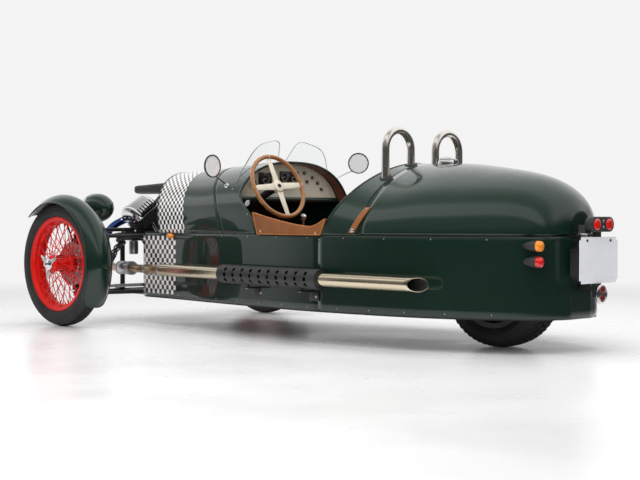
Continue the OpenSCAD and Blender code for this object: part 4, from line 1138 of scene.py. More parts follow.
class CAR_OT_wings(bpy.types.Operator):
    """Front wings with wired edges and stays"""

    bl_idname = "car.wings"
    bl_label = "Wings"

    radius = 0.382
    half = 0.080
    crown = 0.045
    front = math.radians(45)
    rear = math.radians(36)
    king_x = FRONT_AXLE.x - 0.0684
    king_top = 0.470
    stays = (math.radians(-22), math.radians(42))

    def height(self, z):
        return self.radius - self.crown * (z / self.half) ** 2

    def stay(self, side, turn):
        """Route of a stay: up from the knuckle, then across the wing under its skin; turn 0 points up."""
        matrix = wheel_matrix(FRONT_AXLE, side)
        route = [Vector((side * self.king_x, FRONT_AXLE.y + math.copysign(0.012, turn), self.king_top))]
        for z in (-0.074, -0.060, -0.040, -0.020, 0.0, 0.020, 0.040, 0.060):
            r = self.height(z) - 0.0095
            route.append(matrix @ Vector((-r * math.cos(turn), r * math.sin(turn), z)))
        return [route[0], mix(route[0], route[1], 0.5), *route[1:]]

    def execute(self, context):
        start = math.pi / 2 - self.rear
        angle = math.pi - self.front + self.rear
        for name, side in SIDES.items():
            matrix = wheel_matrix(FRONT_AXLE, side)

            def skin(u, v, matrix=matrix):
                share = even_rows(u)
                a = start + angle * share
                corner = 1 - min(1.0, min(share, 1 - share) / 0.055)
                z = self.half * (2 * v - 1) * mix(0.58, 1.0, math.sqrt(1 - corner**2))
                return matrix @ polar(self.height(z), a, z)

            bm = bmesh.new()
            add_sheet(bm, 72, 24, skin, (side * FRONT_AXLE.x, FRONT_AXLE.y, FRONT_AXLE.z))
            piece(f"wing_skin_{name}", bm, "Body Paint", f"knuckle_{name}",
                  f"wing_{name}", wall=0.0035)
            bm = bmesh.new()
            outline = [skin(i / 72, 0) for i in range(73)] + [skin(1, j / 12) for j in range(1, 12)]
            outline += [skin(1 - i / 72, 1) for i in range(73)] + [skin(0, 1 - j / 12) for j in range(1, 12)]
            add_tube(bm, outline, 0.0038, cyclic=True, round_route=False)
            piece(f"wing_bead_{name}", bm, "Body Paint", f"knuckle_{name}")
            bm = bmesh.new()
            for turn in self.stays:
                add_tube(bm, self.stay(side, turn), 0.005)
            inner, outer = sorted((side * (self.king_x - 0.010), side * (self.king_x + 0.004)))
            top = min(self.king_top + 0.010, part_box(f"knuckle_{name}")[1].z)
            add_box(bm, (inner, FRONT_AXLE.y - 0.022, self.king_top - 0.012),
                    (outer, FRONT_AXLE.y + 0.022, top), bevel=0.002)
            piece(f"wing_stays_{name}", bm, "Black Steel", f"knuckle_{name}")
        return {"FINISHED"}


# Engine and exhaust

ENGINE = Vector((0, -1.355, 0.360))
VEE = math.radians(36)
DECK, BARREL, HEAD = 0.152, 0.112, 0.062


def cylinder_matrix(side, up=0.0):
    """Matrix of a cylinder of the engine: local +Z points up the bore."""
    return Matrix.Translation(ENGINE) @ Matrix.Rotation(side * VEE, 4, "Y") @ Matrix.Translation((0, 0, up))


class CAR_OT_engine(bpy.types.Operator):
    """V-twin engine with finned barrels, rocker covers, pushrod tubes and air box"""

    bl_idname = "car.engine"
    bl_label = "Engine"

    fins = 14
    fin_r = 0.084
    core_r = 0.062
    can = (0.268, -1.330)

    def barrel(self, bm, matrix):
        pitch = BARREL / self.fins
        profile = [(0.0, 0.0), (self.core_r, 0.0)]
        for i in range(self.fins):
            z = i * pitch
            profile += [(self.core_r, z + 0.25 * pitch), (self.fin_r, z + 0.34 * pitch),
                        (self.fin_r, z + 0.56 * pitch), (self.core_r, z + 0.66 * pitch)]
        profile += [(self.core_r, BARREL), (0.0, BARREL)]
        add_lathe(bm, profile, matrix, steps=48)
        for i in range(5):
            z = BARREL + 0.004 + i * 0.012
            add_box(bm, (-0.074, -0.080, z), (0.074, 0.080, z + 0.005), bevel=0.0015, matrix=matrix)
        add_box(bm, (-0.060, -0.066, BARREL), (0.060, 0.066, BARREL + HEAD), bevel=0.004, matrix=matrix)

    def cover(self, bm, matrix):
        """Domed cover, turned about an axis across the head, with slots in its rear slope drawn as flat
        near-black strips: painted shade, not cut openings.
        """
        half, top, rounding = 0.082, 0.098, 0.030
        axis = matrix @ Matrix.Translation((0, -0.014, -0.012)) @ Matrix.Rotation(math.pi / 2, 4, "Y")
        corner = [(top - rounding * (1 - math.cos(a)), half - rounding * (1 - math.sin(a))) for a in arc(8)]
        profile = [(0.001, -half)] + [(r, -x) for r, x in reversed(corner)] + corner + [(0.001, half)]
        add_lathe(bm, profile, axis, steps=40, start=math.radians(97), angle=math.radians(166))
        # Each slot is a flat near-black strip laid on the chrome: painted shade in place of a cut slot
        for x in (-0.050, -0.030, -0.010, 0.010, 0.030, 0.050):

            def slot(u, v, x=x):
                turn = math.radians(mix(106, 136, v))
                wide = 0.0042 * math.sqrt(1 - min(1.0, abs(2 * v - 1)) ** 8)
                return axis @ polar(top + 0.0008, turn, x + wide * (2 * u - 1))

            add_sheet(bm, 2, 16, slot, axis @ Vector((0, 0, x)), mat=1)
        add_box(bm, (-0.082, -0.112, -0.001), (0.082, 0.084, 0.008), bevel=0.002, matrix=matrix)
        for x in (-half, half):
            for y in (-0.055, -0.014, 0.027):
                add_screw(bm, matrix @ Vector((x, y, 0.022)), matrix.to_3x3() @ Vector((x, 0, 0)), 0.006)

    def barrels(self):
        bm = bmesh.new()
        for side in SIDES.values():
            self.barrel(bm, cylinder_matrix(side, DECK))
        piece("finned_barrels", bm, "Engine Black", "chassis", "cylinders", sharp=30)

    def covers(self):
        bm = bmesh.new()
        for side in SIDES.values():
            self.cover(bm, cylinder_matrix(side, DECK + BARREL + HEAD))
        piece("slotted_covers", bm, ["Chrome", "Seam Rubber"], "chassis", "rocker_covers")

    def pushrods(self):
        bm = bmesh.new()
        for side in SIDES.values():
            matrix = cylinder_matrix(side, DECK)
            for x in (-0.030, 0.030):
                foot = matrix @ Vector((x, 0.088, -0.030))
                head = matrix @ Vector((x * 0.8, 0.080, BARREL + 0.006))
                add_rod(bm, foot, head, 0.0085, sides=20)
                add_rod(bm, foot, mix(foot, head, 0.10), 0.012, sides=20, bevel=0.002)
                add_rod(bm, mix(foot, head, 0.55), mix(foot, head, 0.63), 0.0115, sides=20, bevel=0.002)
        piece("pushrod_tubes", bm, "Chrome", "chassis")

    def case(self):
        bm = bmesh.new()
        along = Matrix.Translation(ENGINE) @ TO_REAR
        front = [(0, -0.1225), (0.040, -0.1220), (0.068, -0.120), (0.076, -0.112), (0.088, -0.108),
                 (0.090, -0.096), (0.104, -0.094), (0.112, -0.086), (0.112, 0.096), (0.104, 0.104),
                 (0.0, 0.105)]
        add_lathe(bm, front, along, steps=64)
        for side in SIDES.values():
            add_lathe(bm, [(0.0, 0.02), (0.074, 0.02), (0.074, DECK - 0.006), (0.082, DECK - 0.006),
                           (0.082, DECK), (0.0, DECK)], cylinder_matrix(side), steps=40)
        for i in range(8):
            a = math.tau * (i + 0.5) / 8
            at = ENGINE + Vector((0.098 * math.cos(a), -0.0955, 0.098 * math.sin(a)))
            add_screw(bm, at, (0, -1, 0), 0.007)
        piece("engine_case", bm, "Cast Alloy", "chassis", "crankcase")

    def air_box(self):
        bm = bmesh.new()
        low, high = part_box("intake")

        def box_skin(u, v):
            y = mix(low.y, high.y, u)
            tail = 1 - 0.25 * max(0.0, (u - 0.75) / 0.25) ** 2
            nose = max(math.sqrt(1 - (1 - min(1.0, u / 0.07)) ** 2), 0.02)
            a = math.tau * v
            half_x = 0.075 * tail * nose
            half_z = mix(0.026, 0.035, smooth_step(u * 1.4)) * nose * tail
            c, s = math.cos(a), math.sin(a)
            return Vector((half_x * math.copysign(abs(c) ** 0.5, c), y,
                           0.770 - 0.008 * (1 - u) + half_z * math.copysign(abs(s) ** 0.5, s)))

        add_sheet(bm, 40, 40, box_skin, (0, -1.3, 0.77))
        bmesh.ops.remove_doubles(bm, verts=bm.verts, dist=1e-5)
        bmesh.ops.holes_fill(bm, edges=[e for e in bm.edges if e.is_boundary], sides=0)
        for side in SIDES.values():
            add_tube(bm, [cylinder_matrix(side, DECK + BARREL + HEAD / 2) @ Vector((-side * 0.071, 0, 0)),
                          Vector((side * 0.060, ENGINE.y, 0.690)), Vector((side * 0.012, ENGINE.y, 0.742))],
                     0.026)
        add_screw(bm, (0.074, -1.24, 0.772), (1, 0, 0), 0.006, mat=1)
        piece("air_box", bm, ["Black Plastic", "Chrome"], "chassis", "intake", sharp=60)

    def breather(self):
        bm = bmesh.new()
        x, y = self.can
        add_rod(bm, (x, y, 0.385), (x, y, 0.462), 0.026, sides=32, bevel=0.005)
        add_rod(bm, (x, y, 0.462), (x, y, 0.474), 0.012, sides=24, mat=1, bevel=0.003)
        add_box(bm, (x - 0.024, y - 0.014, 0.400), (x, y + 0.014, 0.440), mat=1, bevel=0.003)
        piece("breather_can", bm, ["Brushed Steel", "Black Steel"], "chassis")

    def execute(self, context):
        self.barrels()
        self.covers()
        self.pushrods()
        self.case()
        self.air_box()
        self.breather()
        return {"FINISHED"}


PIPE_FRONT = Vector((0.408, -1.010, 0.311))
PIPE_BEND = Vector((0.578, 0.530, 0.307))
PIPE_END = Vector((0.547, 1.078, 0.301))
PIPE_R = 0.032


def on_pipe(y):
    """Point of a left side pipe at place y, before its bend."""
    return mix(PIPE_FRONT, PIPE_BEND, (y - PIPE_FRONT.y) / (PIPE_BEND.y - PIPE_FRONT.y))


class CAR_OT_exhausts(bpy.types.Operator):
    """Side exhausts with their couplings, clamps and brackets"""

    bl_idname = "car.exhausts"
    bl_label = "Exhausts"

    # Start, end, radius and finish of each sleeve; place and radius of each clamp; places of the brackets
    sleeves = ((-1.190, -1.010, 0.0225, 1), (-1.030, -0.865, 0.0265, 1), (-1.310, -1.180, 0.037, 0))
    clamps = ((-1.305, 0.039), (-1.186, 0.039), (-1.205, 0.0385), (-1.026, 0.030), (-0.872, 0.0345))
    bracket_places = (-0.052, 0.380)
    header_r = 0.022

    def pipes(self):
        bm = bmesh.new()
        d = (PIPE_END - PIPE_BEND).normalized()
        tip = PIPE_END + d * 0.06
        add_tube(bm, [on_pipe(-0.872), on_pipe(-0.3), on_pipe(0.3), PIPE_BEND - d * 0.01,
                      mix(PIPE_BEND, tip, 0.5), tip], PIPE_R, detail=6)
        bmesh.ops.delete(bm, geom=[f for f in bm.faces if len(f.verts) > 6], context="FACES")
        bmesh.ops.bisect_plane(
            bm, geom=bm.verts[:] + bm.edges[:] + bm.faces[:], plane_co=PIPE_END,
            plane_no=Vector((1, 1, 0)).normalized(), clear_outer=True,
        )
        left = piece("side_pipes", bm, ["Warm Steel", "Pipe Bore Black"], "chassis", "exhausts",
                     wall=0.0025)
        # The pipes' inner wall takes the near-black second finish
        left.modifiers["Wall"].material_offset = 1
        flip = left.modifiers.new("Right Pipe", "MIRROR")
        flip.use_axis = (True, False, False)

    def joints(self):
        bm = bmesh.new()
        for side in SIDES.values():
            flip = mirrored(side)
            for start, end, radius, mat in self.sleeves:
                add_rod(bm, flip @ on_pipe(start), flip @ on_pipe(end), radius, sides=32, mat=mat,
                        bevel=0.003)
            for y, radius in self.clamps:
                add_rod(bm, flip @ on_pipe(y - 0.006), flip @ on_pipe(y + 0.006), radius, sides=32,
                        bevel=0.002)
            knee = Vector((0.342, -1.518, 0.390))
            upper = [(0.173, -1.4335, 0.599), (0.174, -1.475, 0.598), (0.200, -1.500, 0.585),
                     (0.290, -1.535, 0.520), knee]
            lower = [knee, (0.354, -1.415, 0.318), on_pipe(-1.310)]
            for route, mat in ((upper, 2), (lower, 1)):
                add_tube(bm, [flip @ Vector(p) for p in route], self.header_r, mat=mat, detail=5)
            add_rod(bm, flip @ (knee + Vector((0, 0, 0.008))), flip @ (knee - Vector((0, 0, 0.008))), 0.0245,
                    sides=32)
        piece("pipe_joints", bm, ["Brushed Steel", "Straw Steel", "Blued Steel"], "chassis")

    def brackets(self):
        bm = bmesh.new()
        for side in SIDES.values():
            flip = mirrored(side)
            for y in self.bracket_places:
                at = on_pipe(y)
                inner = half_width(y)
                add_box(bm, (inner - 0.004, y - 0.045, 0.243), (at.x + 0.012, y + 0.020, 0.249), bevel=0.001,
                        matrix=flip)
                add_box(bm, (inner, y - 0.020, 0.200), (inner + 0.004, y + 0.045, 0.249), bevel=0.001,
                        matrix=flip)
                low, high = (flip @ Vector((at.x - 0.008, y - 0.020, z)) for z in (0.246, 0.272))
                add_rod(bm, low, high, 0.006)
        piece("pipe_brackets", bm, "Black Steel", "chassis")

    def bolts(self):
        bm = bmesh.new()
        for side in SIDES.values():
            for y in self.bracket_places:
                inner = half_width(y) + 0.004
                add_screw(bm, (side * inner, y + 0.028, 0.222), (side, 0, 0), 0.007)
                at = on_pipe(y)
                add_screw(bm, (side * (at.x + 0.004), y - 0.02, 0.243), (0, 0, -1), 0.007)
        piece("bracket_bolts", bm, "Brushed Steel", "chassis")

    def execute(self, context):
        self.pipes()
        self.joints()
        self.brackets()
        self.bolts()
        return {"FINISHED"}


# Cockpit


class CAR_OT_steering_wheel(bpy.types.Operator):
    """Wood-rimmed steering wheel with four flat arms"""

    bl_idname = "car.steering_wheel"
    bl_label = "Steering Wheel"

    radius = 0.168
    grip = 0.0115

    def execute(self, context):
        tilt = math.atan2(STEERING_AXIS.z, STEERING_AXIS.y)
        matrix = Matrix.Translation(STEERING_HUB) @ Matrix.Rotation(tilt - math.pi / 2, 4, "X")
        bm = bmesh.new()
        ring = [(self.radius + self.grip * math.cos(a), self.grip * math.sin(a))
                for a in arc(16, 1, math.tau)]
        add_lathe(bm, ring, matrix, steps=96, closed=True)
        piece("wheel_rim", bm, "Rim Wood", "steering", "steering_wheel")

        bm = bmesh.new()
        for i in range(4):
            turn = matrix @ Matrix.Rotation(math.radians(4 + 90 * i), 4, "Z")
            part = bmesh.new()
            bmesh.ops.create_cube(part, size=1)
            bmesh.ops.scale(part, vec=(self.radius - 0.018, 0.030, 0.004), verts=part.verts)
            bmesh.ops.translate(part, vec=((self.radius + 0.018) / 2, 0, 0), verts=part.verts)
            for vert in part.verts:
                vert.co.y *= 0.86 if vert.co.x > 0.1 else 1.25
            bevel_edges(part, part.edges[:], 0.0012)
            join(bm, part, 0, turn)
            add_screw(bm, turn @ Vector((self.radius - 0.004, 0, 0.011)), turn.to_3x3() @ Vector((0, 0, 1)),
                      0.004)
        boss = [(0, 0.010), (0.025, 0.010), (0.030, 0.008), (0.032, 0.004), (0.032, -0.010), (0.027, -0.020),
                (0.0, -0.024)]
        add_lathe(bm, boss, matrix, steps=40)
        add_lathe(bm, [(0, 0.0150), (0.008, 0.0146), (0.0105, 0.0130), (0.011, 0.009)], matrix, steps=32,
                  mat=1)
        for i in range(6):
            at = matrix @ polar(0.021, math.tau * i / 6, 0.0095)
            add_screw(bm, at, matrix.to_3x3() @ Vector((0, 0, 1)), 0.0025)
        add_rod(bm, matrix @ Vector((0, 0, -0.36)), matrix @ Vector((0, 0, -0.02)), 0.012, mat=1)
        piece("wheel_arms", bm, ["Cream Enamel", "Dial Black"], "steering")
        return {"FINISHED"}


class CAR_OT_dashboard(bpy.types.Operator):
    """Dashboard with its dials, switches and lower roll"""

    bl_idname = "car.dashboard"
    bl_label = "Dashboard"

    face_y = -0.336

    def dial(self, bm, x, z, r):
        matrix = axis_matrix((x, self.face_y, z), (0, 1, 0))
        add_lathe(bm, [(r, -0.002), (r, 0.010), (0.93 * r, 0.013), (0.86 * r, 0.010), (0.86 * r, 0.002)],
                  matrix, steps=40, mat=0)
        add_lathe(bm, [(0.87 * r, 0.004), (0, 0.0042)], matrix, steps=40, mat=1)
        for i in range(11):
            a = math.radians(-40 + 26 * i)
            turn = matrix @ Matrix.Rotation(a, 4, "Z")
            add_box(bm, (0.66 * r, -0.0009, 0.0042), (0.80 * r, 0.0009, 0.0050), mat=2, matrix=turn)
        needle = matrix @ Matrix.Rotation(math.radians(200), 4, "Z")
        add_box(bm, (-0.15 * r, -0.001, 0.0055), (0.68 * r, 0.001, 0.0065), mat=2, matrix=needle)
        add_lathe(bm, [(0.10 * r, 0.004), (0.10 * r, 0.0075), (0, 0.008)], matrix, steps=16, mat=0)

    def dials(self):
        bm = bmesh.new()
        for low, high in (((0.105, 0.768), (0.200, 0.832)), ((-0.092, 0.784), (0.048, 0.842))):
            add_box(bm, (low[0], self.face_y - 0.002, low[1]), (high[0], self.face_y + 0.004, high[1]),
                    mat=1, bevel=0.003)
        for x, z, r in ((0.152, 0.800, 0.028), (0.014, 0.813, 0.026), (-0.056, 0.813, 0.026),
                        (0.240, 0.770, 0.022)):
            self.dial(bm, x, z, r)
        for i in range(6):
            x = -0.05 + 0.02 * i
            add_rod(bm, (x, self.face_y, 0.744), (x, self.face_y + 0.016, 0.746), 0.0035, sides=10)
        for x, z in ((-0.135, 0.836), (-0.155, 0.790), (-0.195, 0.812), (-0.235, 0.784), (-0.265, 0.750)):
            add_rod(bm, (x, self.face_y, z), (x, self.face_y + 0.008, z), 0.010, sides=20, bevel=0.002, mat=1)
            add_rod(bm, (x, self.face_y + 0.008, z), (x, self.face_y + 0.013, z), 0.006, sides=16,
                    bevel=0.001)
        piece("dials", bm, ["Chrome", "Dial Black", "Dial White"], "chassis")

    def roll(self):
        bm = bmesh.new()
        low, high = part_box("dashboard")
        route = [(mix(low.x + 0.012, high.x - 0.012, i / 8), self.face_y + 0.006, low.z + 0.004)
                 for i in range(9)]
        add_tube(bm, route, 0.014)
        piece("dash_roll", bm, "Body Paint", "chassis")

    def execute(self, context):
        self.dials()
        self.roll()
        dress("dashboard", "Dash Face")
        return {"FINISHED"}


def pad_top(y):
    """Height of an elbow pad's dipped upper edge."""
    if y < 0.360:
        return 0.549 + 0.069 * ((0.360 - y) / 0.452) ** 1.3
    return 0.549 + 0.038 * ((y - 0.360) / 0.106) ** 1.6


class CAR_OT_leather(bpy.types.Operator):
    """Elbow pads, seats and cockpit lining"""

    bl_idname = "car.leather"
    bl_label = "Leather"

    pleats = 5
    seat_inner = 0.083
    back_deep, back_tall, back_lean = 0.085, 0.445, math.radians(12)
    face = 0.49

    def pad_point(self, u, v, out):
        low = Vector((0, mix(-0.052, 0.432, u), WAIST + 0.0008))
        y = mix(-0.092, 0.466, u)
        high = Vector((0, y, pad_top(y)))
        at = mix(low, high, v)
        swell = (1 - (2 * u - 1) ** 6) * (1 - (2 * v - 1) ** 6)
        return Vector((half_width(at.y) + 0.001 + out * swell, at.y, at.z))

    def pads(self):
        for name, side in SIDES.items():
            flip = mirrored(side)
            bm = bmesh.new()
            add_sheet(bm, 48, 12, lambda u, v: flip @ self.pad_point(u, v, 0.006), (0, 0.2, 0.55))
            pad = piece(f"elbow_pad_{name}", bm, "Tan Leather", "chassis", wall=0.026,
                        rounding=0.006)
            if side > 0:
                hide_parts("elbow_pads")
            bm = bmesh.new()
            count = 40
            outline = [self.pad_point(i / count, 0.0, 0) for i in range(count)]
            outline += [self.pad_point(1.0, i / 10, 0) for i in range(10)]
            outline += [self.pad_point(1 - i / count, 1.0, 0) for i in range(count)]
            outline += [self.pad_point(0.0, 1 - i / 10, 0) for i in range(10)]
            route = [flip @ (p + Vector((0.001, 0, 0))) for p in outline]
            add_tube(bm, route, 0.0042, cyclic=True, round_route=False)
            piece(f"pad_piping_{name}", bm, "Pale Piping", "chassis")
            bm = bmesh.new()
            for u in (0.07, 0.93):
                at = self.pad_point(u, 0.14, 0.006)
                add_screw(bm, flip @ at, (side, 0, 0), 0.006)
            piece(f"pad_studs_{name}", bm, "Chrome", "chassis")

    def cushion_point(self, low, high, x, y, z, swell):
        """Point of a cushion for a point of a unit cube; its top swells."""
        at = Vector((mix(self.seat_inner, high.x, x + 0.5), mix(low.y, high.y, y + 0.5),
                     mix(low.z, high.z - 0.012, z + 0.5)))
        if z > self.face:
            at.z += swell
        return at

    def back_point(self, low, high, x, y, z, swell):
        """Point of a leaning seat back for a point of a unit cube; its front swells."""
        deep = 0.012 + (self.back_deep - 0.012) * (y + 0.5)
        tall = self.back_tall * (z + 0.5)
        if y < -self.face:
            deep -= swell
        c, s = math.cos(self.back_lean), math.sin(self.back_lean)
        return Vector((mix(self.seat_inner, high.x, x + 0.5), low.y + deep * c + tall * s,
                       low.z + 0.018 - deep * s + tall * c))

    def seats(self):
        kinds = (("seat_cushions", self.cushion_point, 1), ("seat_backs", self.back_point, 2))
        for name, side in SIDES.items():
            for node, place, long_axis in kinds:
                low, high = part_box(node)
                bm = bmesh.new()
                bmesh.ops.create_cube(bm, size=1)
                bmesh.ops.subdivide_edges(bm, edges=bm.edges[:], cuts=22, use_grid_fill=True)
                for vert in bm.verts:
                    x, y, z = vert.co
                    pleat = abs(math.sin(math.pi * self.pleats * (x + 0.5)))
                    crown = (1 - (2 * x) ** 4) * (1 - (2 * vert.co[long_axis]) ** 4)
                    swell = 0.016 * crown * (0.45 + 0.55 * pleat**0.5)
                    vert.co = mirrored(side) @ place(low, high, x, y, z, swell)
                bmesh.ops.recalc_face_normals(bm, faces=bm.faces)
                seat = piece(f"{node[:-1]}_{name}", bm, "Tan Leather", "chassis", levels=1,
                             sharp=180)
                if side > 0:
                    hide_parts(node)

    def lining(self):
        bm = bmesh.new()
        for side in SIDES.values():

            def inner(u, v, side=side):
                y = mix(-0.700, 0.600, u)
                return Vector((side * (half_width(y) - WALL - 0.003), y, mix(0.160, WAIST - 0.004, v)))

            add_sheet(bm, 30, 6, inner, (side * 2, 0, 0.3))

        def under_scuttle(u, v):
            angle = mix(0.02, math.pi - 0.02, u)
            return body_point(mix(-0.325, scuttle_rear(angle) - 0.004, v), angle, -SKIN - 0.004)

        add_sheet(bm, 64, 6, under_scuttle, (0, -0.2, 1.6))
        piece("cockpit_lining", bm, "Dark Lining", "chassis", wall=0.002)

    def execute(self, context):
        self.pads()
        self.seats()
        self.lining()
        return {"FINISHED"}


class CAR_OT_cockpit_trim(bpy.types.Operator):
    """Screens, mirrors, hoop collars and gear lever"""

    bl_idname = "car.cockpit_trim"
    bl_label = "Cockpit Trim"

    # Head of each mirror as if on the left, and its aim in degrees; place and height of the feet
    mirror_heads = {"left": ((0.540, -0.315, 0.855), 6), "right": ((0.540, -0.315, 0.900), 46)}
    mirror_foot = (-0.420, 0.759)
    hoop_y, hoop_centres, hoop_legs = 0.634, (-0.180, 0.180), (-0.090, 0.090)

    def mirrors(self):
        bm = bmesh.new()
        glass = bmesh.new()
        for name, side in SIDES.items():
            flip = mirrored(side)
            at, aim = self.mirror_heads[name]
            head, aim = Vector(at), math.radians(aim)
            back = Vector((math.sin(aim), -math.cos(aim), 0))
            foot = body_point(self.mirror_foot[0], angle_at(*self.mirror_foot), 0.001)
            joint = head + 0.024 * back - Vector((0.008, 0, 0.018))
            stalk = (foot, foot + Vector((0.014, 0.002, 0.011)), mix(foot, joint, 0.6), joint,
                     head + 0.020 * back)
            add_tube(bm, [flip @ p for p in stalk], 0.0040)
            add_lathe(bm, [(0.014, -0.002), (0.013, 0.006), (0.007, 0.012), (0, 0.013)],
                      flip @ axis_matrix(foot, (0.8, 0, 0.6)), steps=24)
            shell = [(0, -0.026), (0.022, -0.024), (0.044, -0.014), (0.056, 0.0), (0.058, 0.006),
                     (0.058, 0.0115), (0.0555, 0.012), (0.0545, 0.0085)]
            turn = flip @ Matrix.Translation(head) @ Matrix.Rotation(aim, 4, "Z") @ TO_REAR
            add_lathe(bm, shell, turn, steps=48)
            ring = [(0.0560, 0.0060), (0.0585, 0.0062), (0.0585, 0.0118), (0.0560, 0.0124), (0.0525, 0.0110),
                    (0.0525, 0.0090)]
            add_lathe(bm, ring, turn, steps=48, mat=1, closed=True)
            add_lathe(glass, [(0, 0.0088), (0.054, 0.0086), (0.0548, 0.0070)], turn, steps=48)
        piece("mirror_shells", bm, ["Chrome", "Dark Bezel"], "chassis", "mirrors")
        piece("mirror_glass", glass, "Mirror Glass", "chassis")

    def screen_edges(self):
        node = frame["nodes"]["aero_screens"]
        screens, bm = bmesh.new(), bmesh.new()
        screens.from_mesh(node.data)
        bmesh.ops.remove_doubles(screens, verts=screens.verts, dist=1e-5)
        # Thin grey rods along the screens' sharp edges: painted shade of the glass edges
        for edge in screens.edges:
            if len(edge.link_faces) == 2 and edge.calc_face_angle() > math.radians(40):
                add_rod(bm, *(node.matrix_world @ v.co for v in edge.verts), 0.0008, sides=6)
        screens.free()
        piece("screen_edges", bm, "Screen Edge", "chassis")

    def collars(self):
        bm = bmesh.new()
        for hoop in self.hoop_centres:
            for leg in self.hoop_legs:
                x, y = hoop + leg, self.hoop_y
                share = (abs(x) / half_width(y)) ** shape(y, SQUARE)
                z = WAIST + (shape(y, CREST) - WAIST) * (1 - share) ** (1 / shape(y, SQUARE))
                normal = body_normal(y, angle_at(y, z))
                if x < 0:
                    normal.x = -normal.x
                add_lathe(bm, [(0.0198, 0.006), (0.024, 0.0055), (0.030, 0.003), (0.031, -0.002)],
                          axis_matrix((x, y, z), normal), steps=32)
        piece("hoop_collars", bm, "Black Plastic", "chassis")

    def execute(self, context):
        self.mirrors()
        for node, finish in (("aero_screens", "Clear Glass"), ("roll_hoops", "Stainless"),
                             ("gear_lever", "Chrome")):
            dress(node, finish)
        self.screen_edges()
        self.collars()
        return {"FINISHED"}


# Lamps and plate


